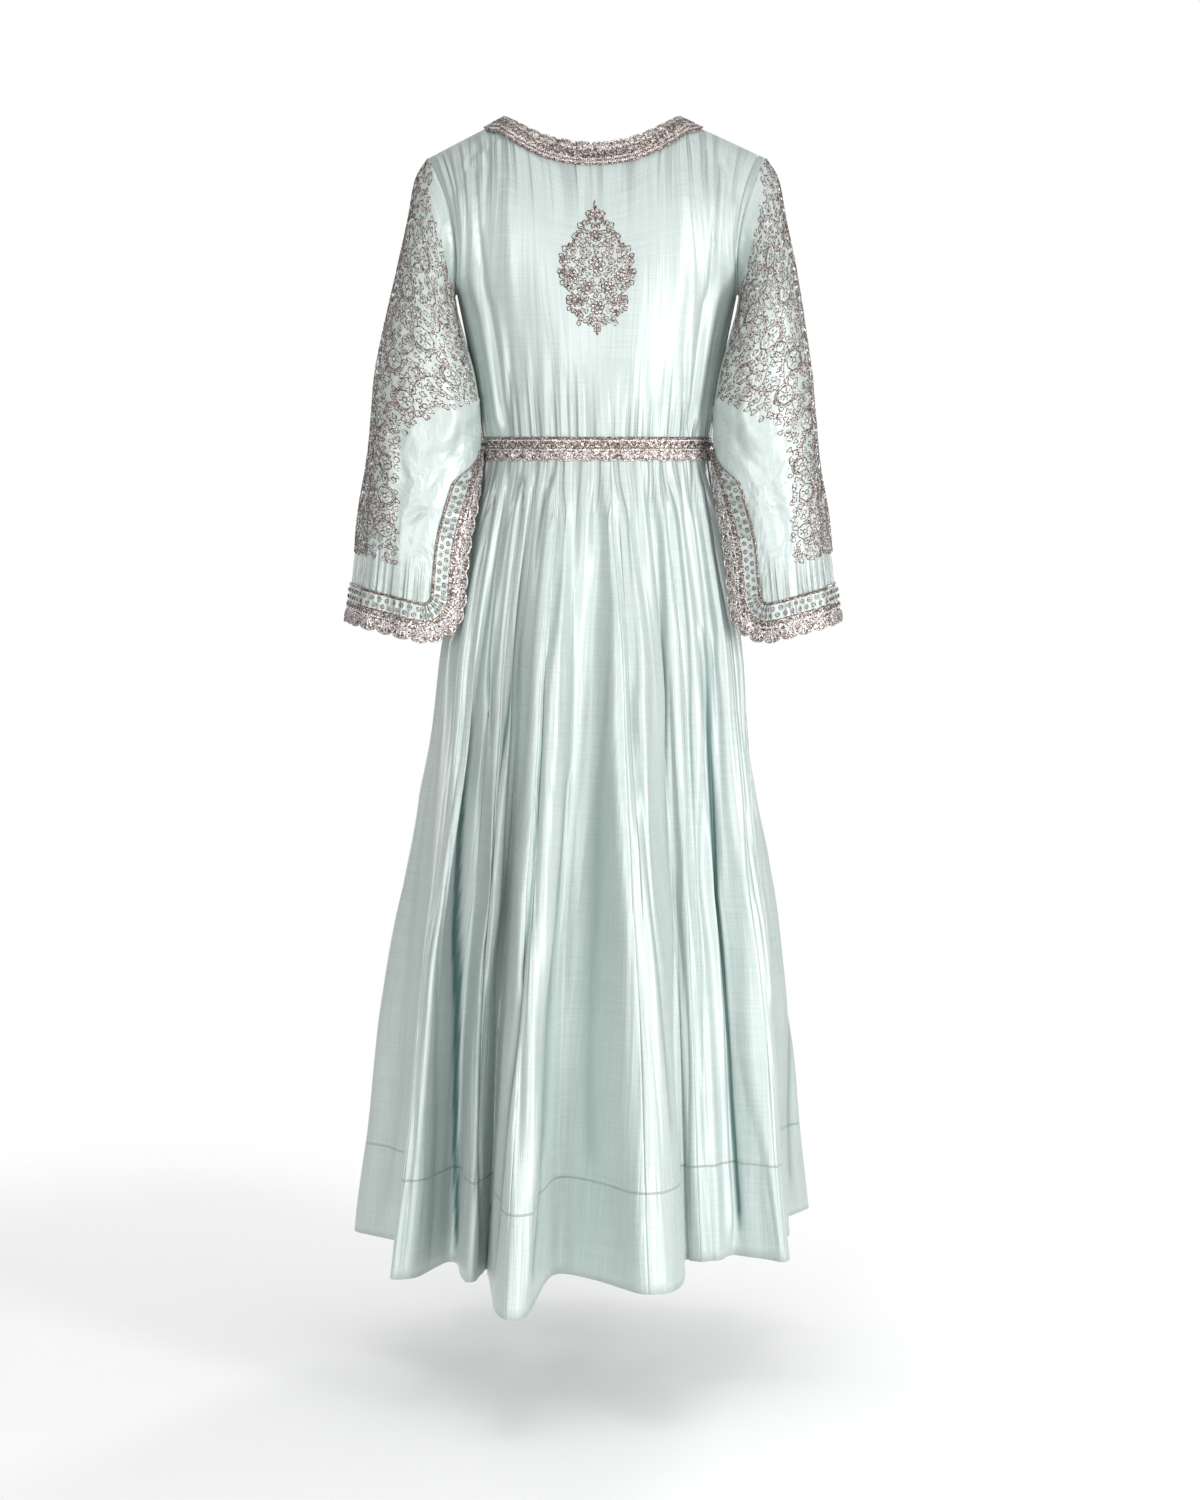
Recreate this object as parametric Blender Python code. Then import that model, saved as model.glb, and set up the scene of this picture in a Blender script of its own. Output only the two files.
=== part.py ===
"""An anarkali gown of mint silk, in the hollow form it keeps when it is worn.

A gathered bodice with a scalloped neckband, long bell sleeves slit at the inner wrist and
edged with a scalloped border, a waistband, and a skirt of fifteen flared panels.

Metres, +Z up. The wearer faces -Y, so the back is +Y and the wearer's left is +X. The origin
lies midway between the two neck points, at the top of the shoulders that carry the gown.
Every solid is a wall of cloth: a grid of outer points and a second grid set in from it.
"""

import math
from collections import namedtuple

import bmesh
import bpy
from mathutils import Vector

# Cloth and seams
WALL = 0.0015
BAND_WALL = 0.0014
SEAM_GAP = 0.0003
LAY_GAP = 0.0005
NECKBAND_GAP = 0.0020
MOST_MITRE = 2.0

# Heights
WAIST_Z = -0.388
HEM_Z = -1.354
UNDERARM_Z = -0.205

# The torso below the underarm: its half width and its depth behind and before the side seam
Section = namedtuple("Section", "z half_width back front")
TORSO = (
    Section(WAIST_Z, 0.1370, 0.0940, 0.1060),
    Section(-0.374, 0.1386, 0.0945, 0.1080),
    Section(-0.340, 0.1432, 0.0965, 0.1150),
    Section(-0.305, 0.1482, 0.0990, 0.1230),
    Section(-0.262, 0.1552, 0.1020, 0.1280),
    Section(UNDERARM_Z, 0.1665, 0.1030, 0.1180),
)
BUST = {"x": 0.082, "z": -0.258, "reach": 0.070, "rise": 0.012}

# The neck and the shoulder seam
NECK_X = 0.1035
NECK_LEAN = 0.006
NECK_BACK = {"depth": 0.070, "drop": 0.0345}
NECK_FRONT = {"depth": 0.084, "drop": 0.098}
NECK_SHARE = 0.5
ARMHOLE_RISES = (0.0, 0.09, 0.23, 0.42, 0.61, 0.81, 1.0)
GATHERS = 22
GATHER_DEPTH = 0.0016
BODICE_HEIGHTS = (0.0, 0.076, 0.22, 0.44, 0.72, 1.0)

# Sleeve rings, from the armhole to the wrist: the ring's outermost and innermost points, its
# middle and half depth from front to back, and how far the armhole scoops in towards the spine
Ring = namedtuple("Ring", "down outer_x outer_z inner_x inner_z middle_y half_depth scoop")
SLEEVE = (
    Ring(0.000, 0.2003, -0.0455, 0.1683, -0.2053, 0.000, 0.0600, 0.0150),
    Ring(0.040, 0.2140, -0.0680, 0.1690, -0.2130, 0.002, 0.0635, 0.0080),
    Ring(0.106, 0.2230, -0.1150, 0.1645, -0.2300, 0.012, 0.0665, 0.0020),
    Ring(0.193, 0.2335, -0.1680, 0.1560, -0.2580, 0.030, 0.0665, 0.0),
    Ring(0.304, 0.2475, -0.2300, 0.1440, -0.3020, 0.041, 0.0650, 0.0),
    Ring(0.420, 0.2610, -0.2950, 0.1375, -0.3500, 0.044, 0.0630, 0.0),
    Ring(0.513, 0.2670, -0.3520, 0.1380, -0.3950, 0.044, 0.0615, 0.0),
    Ring(0.646, 0.2745, -0.4200, 0.1475, -0.4550, 0.043, 0.0595, 0.0),
    Ring(0.770, 0.2820, -0.4820, 0.1560, -0.5130, 0.042, 0.0580, 0.0),
    Ring(0.886, 0.2880, -0.5360, 0.1605, -0.5680, 0.041, 0.0575, 0.0),
    Ring(1.000, 0.2965, -0.5880, 0.1640, -0.6210, 0.041, 0.0575, 0.0),
)
ARMHOLE_AXIS = (0.981, 0.0, -0.196)
ARMHOLE_GAP = 0.0006
RIGHT_NARROWER = 0.0085
SLEEVE_LENGTH = 0.483
SLEEVE_COLUMNS = 24
SLEEVE_ROWS = (0.0, 0.04, 0.106, 0.193, 0.304, 0.40, 0.475, 0.60, 0.74, 0.87, 1.0)
SLIT_TOP = 0.475
SLIT_BACK_DEG = 28.0
SLIT_FRONT_DEG = 66.0
SLIT_FLAP = 0.010
SLEEVE_FOLDS = 5
SLEEVE_FOLD_DEPTH = 0.0022

# The border that runs along the wrist and up both edges of the slit
CUFF_ACROSS = 0.325
BORDER_WIDTH = 0.044
BORDER_GAP = 0.0021
SCALLOPS_TO_TOP = 2.5
CORNER_RADIUS = 0.056
BORDER_STEPS = 3
CUFF_SCALLOP = {"pitch": 0.0215, "depth": 0.0055}

# Neckband and waistband
NECKBAND_WIDTH = 0.027
NECK_SCALLOP = {"count": 16, "depth": 0.0026}
SHOULDER_SPREAD = 4.6
NAPE_SPREAD = {1: 7.25, -1: 10.5}
NAPE_SWELL = {1: 1.4, -1: 1.0}
WAISTBAND = {"top": -0.3740, "bottom": -0.3990}
WAIST_SCALLOP = {"count": 18, "depth": 0.0036}
SCALLOP_STEPS = 3
BAND_ROWS = 2

# Skirt flutes round the hem, from the back towards the wearer's left: the flute's bearing at the
# waist, the valley that comes before it, its crest with half the crest's breadth, and how much
# lower than the rest the hem hangs there
Flute = namedtuple(
    "Flute", "waist_deg valley_x valley_y crest_x crest_y half_breadth drop", defaults=(0.0,)
)
FLUTES = (
    Flute(-9, -0.104, 0.074, -0.071, 0.243, 0.034),
    Flute(18, 0.066, 0.080, 0.095, 0.298, 0.022, 0.016),
    Flute(36, 0.128, 0.072, 0.150, 0.190, 0.010),
    Flute(54, 0.168, 0.052, 0.231, 0.178, 0.018),
    Flute(80, 0.200, 0.010, 0.293, -0.072, 0.026),
    Flute(106, 0.208, -0.110, 0.264, -0.178, 0.022),
    Flute(128, 0.164, -0.134, 0.190, -0.262, 0.024),
    Flute(148, 0.106, -0.155, 0.098, -0.305, 0.028),
    Flute(172, 0.032, -0.168, 0.004, -0.318, 0.022),
    Flute(196, -0.036, -0.165, -0.090, -0.294, 0.030),
    Flute(220, -0.114, -0.150, -0.180, -0.252, 0.022),
    Flute(243, -0.160, -0.124, -0.264, -0.194, 0.018),
    Flute(268, -0.200, -0.092, -0.232, -0.034, 0.022),
    Flute(298, -0.166, 0.006, -0.226, 0.090, 0.022),
    Flute(325, -0.163, 0.040, -0.132, 0.090, 0.020),
)
CREST_RISE = 0.006
POINTS_A_FLUTE = 12
# How the flutes open on the way down, as shares of the drop and of the spread at the hem
OPENING = (
    (0.0, 0.0), (0.02, 0.0), (0.06, 0.03), (0.14, 0.11), (0.24, 0.215), (0.35, 0.30),
    (0.44, 0.43), (0.58, 0.66), (0.70, 0.78), (0.79, 0.845), (0.88, 0.905), (1.0, 1.0),
)
SKIRT_ROWS = (0.0, 0.014, 0.05, 0.12, 0.24, 0.40, 0.58, 0.78, 1.0)
HIP_RISE = 0.0135
HIP_END = 0.55
PLEATS_A_FLUTE = 3
PLEAT_DEPTH = 0.0040
PLEAT_START = 0.014
PLEAT_FULL = 0.10
PLEAT_END = 0.85
SEAM_POINT = 7

SILK = (0.62, 0.78, 0.74)
BORDER = (0.52, 0.50, 0.46)


def eased(value):
    """0 to 1, with a soft start and end."""
    value = min(1.0, max(0.0, value))
    return value * value * (3 - 2 * value)


def between(table, at):
    """The values of a table's row at a place in its first column, on a curve through the rows."""
    last = len(table) - 1
    low = next((i for i in range(last) if at <= table[i + 1][0]), last - 1)
    first, second = table[low], table[low + 1]
    before, after = table[max(low - 1, 0)], table[min(low + 2, last)]
    span = second[0] - first[0]
    share = (at - first[0]) / span
    found = []
    for column in range(1, len(first)):
        leave = (second[column] - before[column]) / (second[0] - before[0]) * span
        reach = (after[column] - first[column]) / (after[0] - first[0]) * span
        cube, square = share**3, share**2
        found.append(
            first[column] * (2 * cube - 3 * square + 1)
            + leave * (cube - 2 * square + share)
            + second[column] * (3 * square - 2 * cube)
            + reach * (cube - square)
        )
    return found


def normals_of(grid, outward):
    """The outward unit normal at each point of a grid, from its neighbours. A grid whose row ends
    where it began is treated as a ring. outward(point) says roughly which way is out, and the
    whole grid faces the way that most of it agrees with."""
    rows, columns = len(grid), len(grid[0])
    found, agreed = [], 0.0
    for r, line in enumerate(grid):
        ring = (line[0] - line[-1]).length < 1e-9
        normals = []
        for c, point in enumerate(line):
            if ring:
                left, right = line[(c - 1) % (columns - 1)], line[(c + 1) % (columns - 1)]
            else:
                left, right = line[max(c - 1, 0)], line[min(c + 1, columns - 1)]
            up, down = grid[max(r - 1, 0)][c], grid[min(r + 1, rows - 1)][c]
            normal = (right - left).cross(down - up).normalized()
            normals.append(normal)
            agreed += normal.dot(outward(point))
        found.append(normals)
    if agreed < 0:
        found = [[-normal for normal in normals] for normals in found]
    return found


def moved(grid, normals, distance):
    """The grid moved along its normals. Where the cloth bends sharply the points move a little
    further, so that the wall keeps its thickness."""
    made = []
    for line, line_normals in zip(grid, normals):
        points = []
        for c, (point, normal) in enumerate(zip(line, line_normals)):
            along = line[min(c + 1, len(line) - 1)] - line[max(c - 1, 0)]
            side = line[min(c + 1, len(line) - 1)] - point
            if side.length < 1e-9:
                side = point - line[c - 1]
            slant = max(1 / MOST_MITRE, abs(side.normalized().dot(along.normalized())))
            points.append(point + normal * (distance / slant))
        made.append(points)
    return made


def drawn_in(grid, gap):
    """The grid with its first and last columns brought in by a gap, for a seam."""
    made = []
    for line in grid:
        first = line[0] + (line[1] - line[0]).normalized() * gap
        last = line[-1] + (line[-2] - line[-1]).normalized() * gap
        made.append([first, *line[1:-1], last])
    return made


def material(name, colour, roughness, metallic=0.0):
    """A cloth finish, made once and shared by the pieces that have it."""
    finish = bpy.data.materials.get(name) or bpy.data.materials.new(name)
    finish.use_nodes = True
    shader = finish.node_tree.nodes["Principled BSDF"]
    shader.inputs["Base Color"].default_value = (*colour, 1.0)
    shader.inputs["Roughness"].default_value = roughness
    shader.inputs["Metallic"].default_value = metallic
    return finish


def wall(name, outer, inner, finish, joined_rows=0):
    """One closed body between two grids of points. Each cell is folded along its shorter
    diagonal, alike on both sides. In the first joined_rows rows the last column is the first one
    again, so the cloth is a tube there and open below."""
    body = bmesh.new()
    columns = len(outer[0])
    sides = []
    for grid in (outer, inner):
        corners = []
        for r, line in enumerate(grid):
            row = [body.verts.new(point) for point in line[:-1]]
            row.append(row[0] if r < joined_rows else body.verts.new(line[-1]))
            corners.append(row)
        sides.append(corners)
    out, back = sides
    for r in range(len(outer) - 1):
        for c in range(columns - 1):
            falling = (outer[r][c] - outer[r + 1][c + 1]).length
            rising = (outer[r][c + 1] - outer[r + 1][c]).length
            for side in sides:
                corners = (side[r][c], side[r][c + 1], side[r + 1][c + 1], side[r + 1][c])
                if falling > rising:
                    corners = corners[1:] + corners[:1]
                body.faces.new(corners[:3])
                body.faces.new((corners[2], corners[3], corners[0]))
        if r + 1 >= joined_rows:
            for c in (0, columns - 1):
                body.faces.new((out[r][c], out[r + 1][c], back[r + 1][c], back[r][c]))
    for r in (0, len(outer) - 1):
        for c in range(columns - 1):
            body.faces.new((out[r][c], out[r][c + 1], back[r][c + 1], back[r][c]))
    bmesh.ops.recalc_face_normals(body, faces=body.faces)
    mesh = bpy.data.meshes.new(name)
    body.to_mesh(mesh)
    body.free()
    mesh.shade_smooth()
    mesh.materials.append(finish)
    piece = bpy.data.objects.new(name, mesh)
    bpy.context.scene.collection.objects.link(piece)
    return piece


def from_spine(point):
    """Away from the gown's upright axis."""
    return Vector((point.x, point.y, 0))


# ---- Bodice ----


def armhole(rise):
    """A point of the armhole seam on the wearer's left, on its back half. 0 is the underarm and
    1 the shoulder tip, and the seam is straight from each corner to the next."""
    last = len(ARMHOLE_RISES) - 1
    low = next((i for i in range(last) if rise <= ARMHOLE_RISES[i + 1]), last - 1)
    start, end = ARMHOLE_RISES[low:low + 2]
    share = (rise - start) / (end - start)
    return armhole_corner(math.pi * start).lerp(armhole_corner(math.pi * end), share)


def armhole_corner(turn):
    ring = SLEEVE[0]
    outer = Vector((ring.outer_x, 0, ring.outer_z))
    inner = Vector((ring.inner_x, 0, ring.inner_z))
    point = (outer + inner) / 2 - (outer - inner) / 2 * math.cos(turn)
    point.y = ring.half_depth * math.sin(turn)
    point.x -= ring.scoop * math.sin(turn) ** 2
    return point


def neck_depths(side):
    return NECK_BACK if side > 0 else NECK_FRONT


def torso_point(side, across, z):
    """The torso below the underarm. across runs from -1 to 1 between the side seams, and side is
    1 for the back and -1 for the front."""
    half_width, back, front = between(TORSO, z)
    turn = across * math.pi / 2
    depth = back if side > 0 else front
    return Vector((half_width * math.sin(turn), side * depth * math.cos(turn), z))


def top_point(side, across):
    """The bodice's top edge: the neckline in the middle and the shoulder seams beside it."""
    share, sign = abs(across), math.copysign(1, across)
    tip = armhole(1)
    if share >= NECK_SHARE:
        along = (share - NECK_SHARE) / (1 - NECK_SHARE)
        point = Vector((NECK_X, 0, 0)).lerp(tip, along)
        return Vector((sign * point.x + NECK_LEAN * (1 - along), 0, point.z))
    turn = share / NECK_SHARE * math.pi / 2
    neck = neck_depths(side)
    return Vector((
        sign * NECK_X * math.sin(turn) + NECK_LEAN,
        side * neck["depth"] * math.cos(turn),
        -neck["drop"] * math.cos(turn) ** 2,
    ))


def yoke_point(side, across, rise):
    """The bodice from the underarm line, rise 0, over the shoulder to its top edge, rise 1."""
    chest = torso_point(side, across, UNDERARM_Z)
    top = top_point(side, across)
    rounding = 0.3 + 0.7 * eased(abs(across) / NECK_SHARE)
    flat = (1 - rounding) * rise + rounding * (1 - math.cos(rise * math.pi / 2))
    high = (1 - rounding) * rise + rounding * math.sin(rise * math.pi / 2)
    point = chest.lerp(top, flat)
    point.z = chest.z + (top.z - chest.z) * high
    edge, tip, seam = armhole(0), armhole(1), armhole(rise)
    edge.x = torso_point(side, 1, UNDERARM_Z).x
    seam.y *= side
    straight = edge.lerp(tip, 1 - math.cos(rise * math.pi / 2))
    straight.z = edge.z + (tip.z - edge.z) * math.sin(rise * math.pi / 2)
    pull = (seam - straight) * across**2 * (1.6 - 0.6 * across**2)
    if across < 0:
        pull.x = -pull.x
    return point + pull


def bodice_point(side, across, height):
    """The bodice's outer face. height runs from 0 at the waist seam to 1 at the underarm line and
    2 at the top edge."""
    if height <= 1:
        point = torso_point(side, across, WAIST_Z + (UNDERARM_Z - WAIST_Z) * height)
    else:
        point = yoke_point(side, across, height - 1)
    if side < 0:
        for x in (-BUST["x"], BUST["x"]):
            away = math.hypot(point.x - x, point.z - BUST["z"]) / BUST["reach"]
            point.y -= BUST["rise"] * eased(1 - away)
    return point


def gather_depth(height, across):
    """How deep the gathers are: nothing under the bands, most just clear of them."""
    waist = eased((height - 0.08) / 0.18) * (1 - eased((height - 0.25) / 0.7))
    neck = eased((1.70 - height) / 0.12) * eased((height - 1.0) / 0.7) * (abs(across) < 0.42)
    return GATHER_DEPTH * (waist * math.cos(across * math.pi / 2) ** 0.5 + 0.8 * neck)


def bodice_grid(side):
    """The panel's heights, its outer points and their outward normals."""
    columns = 2 * GATHERS
    heights = list(BODICE_HEIGHTS)
    heights += [1 + rise for rise in ARMHOLE_RISES[1:]]
    grid = []
    for height in heights:
        line = []
        for c in range(columns + 1):
            across = -1 + 2 * c / columns
            point = bodice_point(side, across, height)
            wave = (-1) ** c * gather_depth(height, across)
            line.append(point + from_spine(point).normalized() * wave)
        grid.append(line)
    grid[0] = [point + Vector((0, 0, SEAM_GAP / 2)) for point in grid[0]]
    normals = normals_of(grid, from_spine)
    for line, line_normals in zip(grid, normals):
        square_ends(line, line_normals)
    for line_normals in normals[len(BODICE_HEIGHTS):]:
        line_normals[1], line_normals[-2] = line_normals[2], line_normals[-3]
        line_normals[0] = clear_of_armhole(line_normals[2], -1)
        line_normals[-1] = clear_of_armhole(line_normals[-3], 1)
    return heights, grid, normals


def bodice_panel(name, side, finish):
    heights, grid, normals = bodice_grid(side)
    outer = drawn_in(grid, SEAM_GAP / 2)
    inner = drawn_in(moved(grid, normals, -WALL), SEAM_GAP / 2)
    keep_apart(outer, side)
    keep_apart(inner, side)
    return wall(name, outer, inner, finish)


def on_panel(panel, across, height):
    """The point of a bodice panel's own facets at a place, and the outward normal there."""
    heights, grid, normals = panel
    row = next((i for i in range(len(heights) - 2) if height <= heights[i + 1]), len(heights) - 2)
    down = (height - heights[row]) / (heights[row + 1] - heights[row])
    spot = (across + 1) * GATHERS
    column = min(int(spot), 2 * GATHERS - 1)
    over = spot - column
    found = []
    for table in (grid, normals):
        low = table[row][column].lerp(table[row][column + 1], over)
        high = table[row + 1][column].lerp(table[row + 1][column + 1], over)
        found.append(low.lerp(high, down))
    return found[0], found[1].normalized()


def clear_of_armhole(normal, sign):
    """A normal turned so that the wall set in from it stays on its own side of the armhole seam.
    sign is 1 on the wearer's left, and -1 on the right."""
    axis = Vector((sign * ARMHOLE_AXIS[0], 0, ARMHOLE_AXIS[2]))
    return (normal - axis * min(0.0, normal.dot(axis))).normalized()


def square_ends(line, normals):
    """At a side or shoulder seam both panels set their walls in straight across the seam."""
    for end in (0, -1):
        if abs(line[end].y) < 1e-6:
            normals[end] = Vector((normals[end].x, 0, normals[end].z)).normalized()
    for c, point in enumerate(line):
        if abs(point.y) < 1e-6 and 0 < c < len(line) - 1:
            normals[c] = Vector((normals[c].x, 0, normals[c].z)).normalized()


def keep_apart(grid, side):
    """Nothing of a panel crosses the plane of the side and shoulder seams."""
    for line in grid:
        for point in line:
            if point.y * side < SEAM_GAP / 2:
                point.y = side * SEAM_GAP / 2


# ---- Bands at the neck and the waist ----


def laid_band(name, grid, normals, gap, finish):
    """A band that lies on the cloth under it."""
    outer = drawn_in(moved(grid, normals, gap + BAND_WALL), SEAM_GAP)
    inner = drawn_in(moved(grid, normals, gap), SEAM_GAP)
    return wall(name, outer, inner, finish)


def scallop(place, depth):
    """How far a scalloped edge reaches out. place counts scallops along the edge."""
    return depth * math.sqrt(abs(math.sin(math.pi * place)))


def neckband_drop(side, turn):
    """How far the panel's height falls for each metre down the neckband. turn runs from -pi/2 at
    one shoulder seam to pi/2 at the other."""
    swell = 1 + NAPE_SWELL[side] * math.sin(turn) ** 2
    return NAPE_SPREAD[side] * math.sqrt(max(0.0, math.cos(turn))) * swell


def neckband_place(panel, side, turn, down):
    """A point of the bodice at a distance down from the neckline, and the normal there."""
    reach = abs(down)
    shift = SHOULDER_SPREAD * reach * math.sin(turn) ** 2
    across = NECK_SHARE * turn / (math.pi / 2) + math.copysign(shift, turn)
    height = 2 - neckband_drop(side, turn) * reach
    point, normal = on_panel(panel, across, height)
    if down < 0:
        edge, normal = neckband_place(panel, side, turn, 0)
        point = edge * 2 - point
    return point, normal


def neckband(name, side, finish):
    panel = bodice_grid(side)
    steps = NECK_SCALLOP["count"] * SCALLOP_STEPS
    grid, normals = [], []
    for r in range(BAND_ROWS + 1):
        places = []
        for c in range(steps + 1):
            turn = -math.pi / 2 + math.pi * c / steps
            top = -scallop(c / SCALLOP_STEPS, NECK_SCALLOP["depth"])
            bend = (1 - ARMHOLE_RISES[-2]) / max(neckband_drop(side, turn), 1e-6)
            bend = min(max(bend, 0.25 * NECKBAND_WIDTH), 0.85 * NECKBAND_WIDTH)
            down = (top, bend, NECKBAND_WIDTH)[r]
            places.append(neckband_place(panel, side, turn, down))
        grid.append([place[0] for place in places])
        normals.append([place[1] for place in places])
    piece = laid_band(name, grid, normals, NECKBAND_GAP, finish)
    for corner in piece.data.vertices:
        if corner.co.y * side < SEAM_GAP / 2:
            corner.co.y = side * SEAM_GAP / 2
    return piece


def waistband(name, side, finish):
    steps = WAIST_SCALLOP["count"] * SCALLOP_STEPS
    grid = []
    for r in range(2):
        line = []
        for c in range(steps + 1):
            across = -1 + 2 * c / steps
            low = WAISTBAND["bottom"] - scallop(c / SCALLOP_STEPS, WAIST_SCALLOP["depth"])
            z = low if r else WAISTBAND["top"]
            point = torso_point(side, across, max(z, WAIST_Z))
            spare = 0.0010 if z < WAIST_Z else 0.0
            point += from_spine(point).normalized() * spare
            point.z = z
            line.append(point)
        grid.append(line)
    return laid_band(name, grid, normals_of(grid, from_spine), LAY_GAP, finish)


# ---- Sleeves ----


def sleeve_turns(down):
    """Where the cloth begins and ends round the ring: at the inner line above the slit, and at
    the slit's two edges below its top."""
    opened = eased((down - SLIT_TOP) / 0.30)
    back = math.radians(SLIT_BACK_DEG) * opened
    front = math.radians(SLIT_FRONT_DEG) * opened
    return back, 2 * math.pi - front


def sleeve_point(down, across, flip):
    """The outer face of a sleeve, as on the left. down runs from the armhole, 0, to the wrist, 1,
    and across from the slit's back edge, 0, round the arm to its front edge, 1. flip is -1 for
    the right sleeve, which is a little narrower."""
    held = min(max(down, 0.0), 1.0)
    outer_x, outer_z, inner_x, inner_z, middle_y, half_depth, scoop = between(SLEEVE, held)
    if flip < 0:
        outer_x -= RIGHT_NARROWER * eased((held - 0.15) / 0.3)
    start, end = sleeve_turns(held)
    turn = start + (end - start) * across
    outer, inner = Vector((outer_x, 0, outer_z)), Vector((inner_x, 0, inner_z))
    point = (outer + inner) / 2 - (outer - inner) / 2 * math.cos(turn)
    point.y = half_depth * math.sin(turn)
    point.x -= scoop * math.sin(turn) ** 2
    loose = eased((held - 0.40) / 0.4)
    fold = SLEEVE_FOLD_DEPTH * loose * math.cos(2 * math.pi * SLEEVE_FOLDS * across)
    middle = (outer + inner) / 2
    point += (point - middle).normalized() * fold
    if math.cos(turn) > 0 and turn < math.pi:
        flap = SLIT_FLAP * eased((held - SLIT_TOP) / 0.3) * math.cos(turn) ** 2
        point += Vector((-flap, flap, 0))
    point.y += middle_y
    if down > 1:
        point += point - sleeve_point(1 - (down - 1), across, flip)
    return point


def cuff_point(along, up, flip):
    """A point of the sleeve by distances on the cloth: along the wrist from the slit's back edge,
    and up from the wrist line."""
    across = along / CUFF_ACROSS
    held = min(max(across, 0.0), 1.0)
    point = sleeve_point(1 - up / SLEEVE_LENGTH, held, flip)
    if held != across:
        inside = sleeve_point(1 - up / SLEEVE_LENGTH, held + (held - across), flip)
        point += point - inside
    return point


def corner_lift(across):
    """How far the rounded corner of the wrist lies above the wrist line."""
    edge = min(across, 1 - across) * CUFF_ACROSS
    if edge >= CORNER_RADIUS:
        return 0.0
    return CORNER_RADIUS - math.sqrt(CORNER_RADIUS**2 - (CORNER_RADIUS - edge) ** 2)


def mirrored(grid):
    return [[Vector((-point.x, point.y, point.z)) for point in line] for line in grid]


def out_of_sleeve(flip):
    """Away from the arm's own line."""
    def outward(point):
        down = min(1.0, max(0.0, (-0.125 - point.z) / 0.48))
        middle = Vector((flip * (0.184 + 0.051 * down), 0.041 * down, -0.125 - 0.48 * down))
        away = point - middle
        return Vector((away.x, away.y * 1.3, away.z * 0.25))
    return outward


def sleeve_spot(c, down):
    """The share round the ring of a column, closer at the wrist's rounded corners."""
    even = c / SLEEVE_COLUMNS
    closer = 0.035 * eased(down / 0.3)
    return even - closer * math.sin(4 * math.pi * even) * abs(math.cos(math.pi * even))


def armhole_ring():
    """The sleeve's first ring: the armhole's seam behind and its like before, off by the gap."""
    away = Vector(ARMHOLE_AXIS) * ARMHOLE_GAP
    half = SLEEVE_COLUMNS // 2
    a_corner = half // (len(ARMHOLE_RISES) - 1)
    line = []
    for c in range(SLEEVE_COLUMNS + 1):
        corner, over = divmod(half - abs(c - half), a_corner)
        rise = ARMHOLE_RISES[corner]
        if over:
            rise += (ARMHOLE_RISES[corner + 1] - rise) * over / a_corner
        point = armhole(rise)
        point.y *= 1 if c <= half else -1
        line.append(point + away)
    return line


def sleeve(name, flip, finish):
    grid = [armhole_ring()]
    for down in SLEEVE_ROWS[1:]:
        line = []
        for c in range(SLEEVE_COLUMNS + 1):
            across = sleeve_spot(c, down)
            lift = corner_lift(across) / SLEEVE_LENGTH * eased((down - SLIT_TOP) / (1 - SLIT_TOP))
            line.append(sleeve_point(down - lift, across, flip))
        grid.append(line)
    if flip < 0:
        grid = mirrored(grid)
    normals = normals_of(grid, out_of_sleeve(flip))
    normals[0] = [-clear_of_armhole(-normal, flip) for normal in normals[0]]
    joined = sum(down <= SLIT_TOP for down in SLEEVE_ROWS)
    return wall(name, grid, moved(grid, normals, -WALL), finish, joined)


def border_path():
    """The edge of the sleeve's opening, from the slit's top down its back edge, round the wrist
    and up its front edge: for each step, a point and the direction in from the edge."""
    slit = SLEEVE_LENGTH * (1 - SLIT_TOP) - 0.012
    radius, right = CORNER_RADIUS, CUFF_ACROSS - CORNER_RADIUS
    quarter = radius * math.pi / 2
    straight = slit - radius
    length = 2 * straight + 2 * quarter + right - radius
    count = round(length / CUFF_SCALLOP["pitch"]) * BORDER_STEPS
    made = []
    for step in range(count + 1):
        far = length * step / count
        if far <= straight:
            made.append(((0, slit - far), (1, 0)))
        elif far <= straight + quarter:
            turn = (far - straight) / radius
            spoke = (math.cos(turn), math.sin(turn))
            made.append(((radius - radius * spoke[0], radius - radius * spoke[1]), spoke))
        elif far <= length - straight - quarter:
            made.append(((radius + far - straight - quarter, 0), (0, 1)))
        elif far <= length - straight:
            turn = (far - (length - straight - quarter)) / radius
            spoke = (-math.sin(turn), math.cos(turn))
            made.append(((right - radius * spoke[0], radius - radius * spoke[1]), spoke))
        else:
            made.append(((CUFF_ACROSS, radius + far - (length - straight)), (-1, 0)))
    return made


def cuff_border(name, flip, finish):
    path = border_path()
    count = len(path) - 1
    grid = []
    for r in range(BAND_ROWS + 1):
        line = []
        for step, ((along, up), (in_x, in_up)) in enumerate(path):
            clear = eased(min(step, count - step) / BORDER_STEPS / SCALLOPS_TO_TOP)
            width = BORDER_WIDTH * (0.28 + 0.72 * clear)
            edge = -scallop(step / BORDER_STEPS, CUFF_SCALLOP["depth"] * clear)
            depth = edge + (width - edge) * r / BAND_ROWS
            line.append(cuff_point(along + in_x * depth, up + in_up * depth, flip))
        grid.append(line)
    if flip < 0:
        grid = mirrored(grid)
    return laid_band(name, grid, normals_of(grid, out_of_sleeve(flip)), BORDER_GAP, finish)


# ---- Skirt ----


def waist_spot(bearing):
    """A point of the waist seam. A bearing of 0 is the middle of the back."""
    turn = math.radians(bearing)
    depth = TORSO[0].back if math.cos(turn) > 0 else TORSO[0].front
    return Vector((TORSO[0].half_width * math.sin(turn), depth * math.cos(turn), 0))


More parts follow.
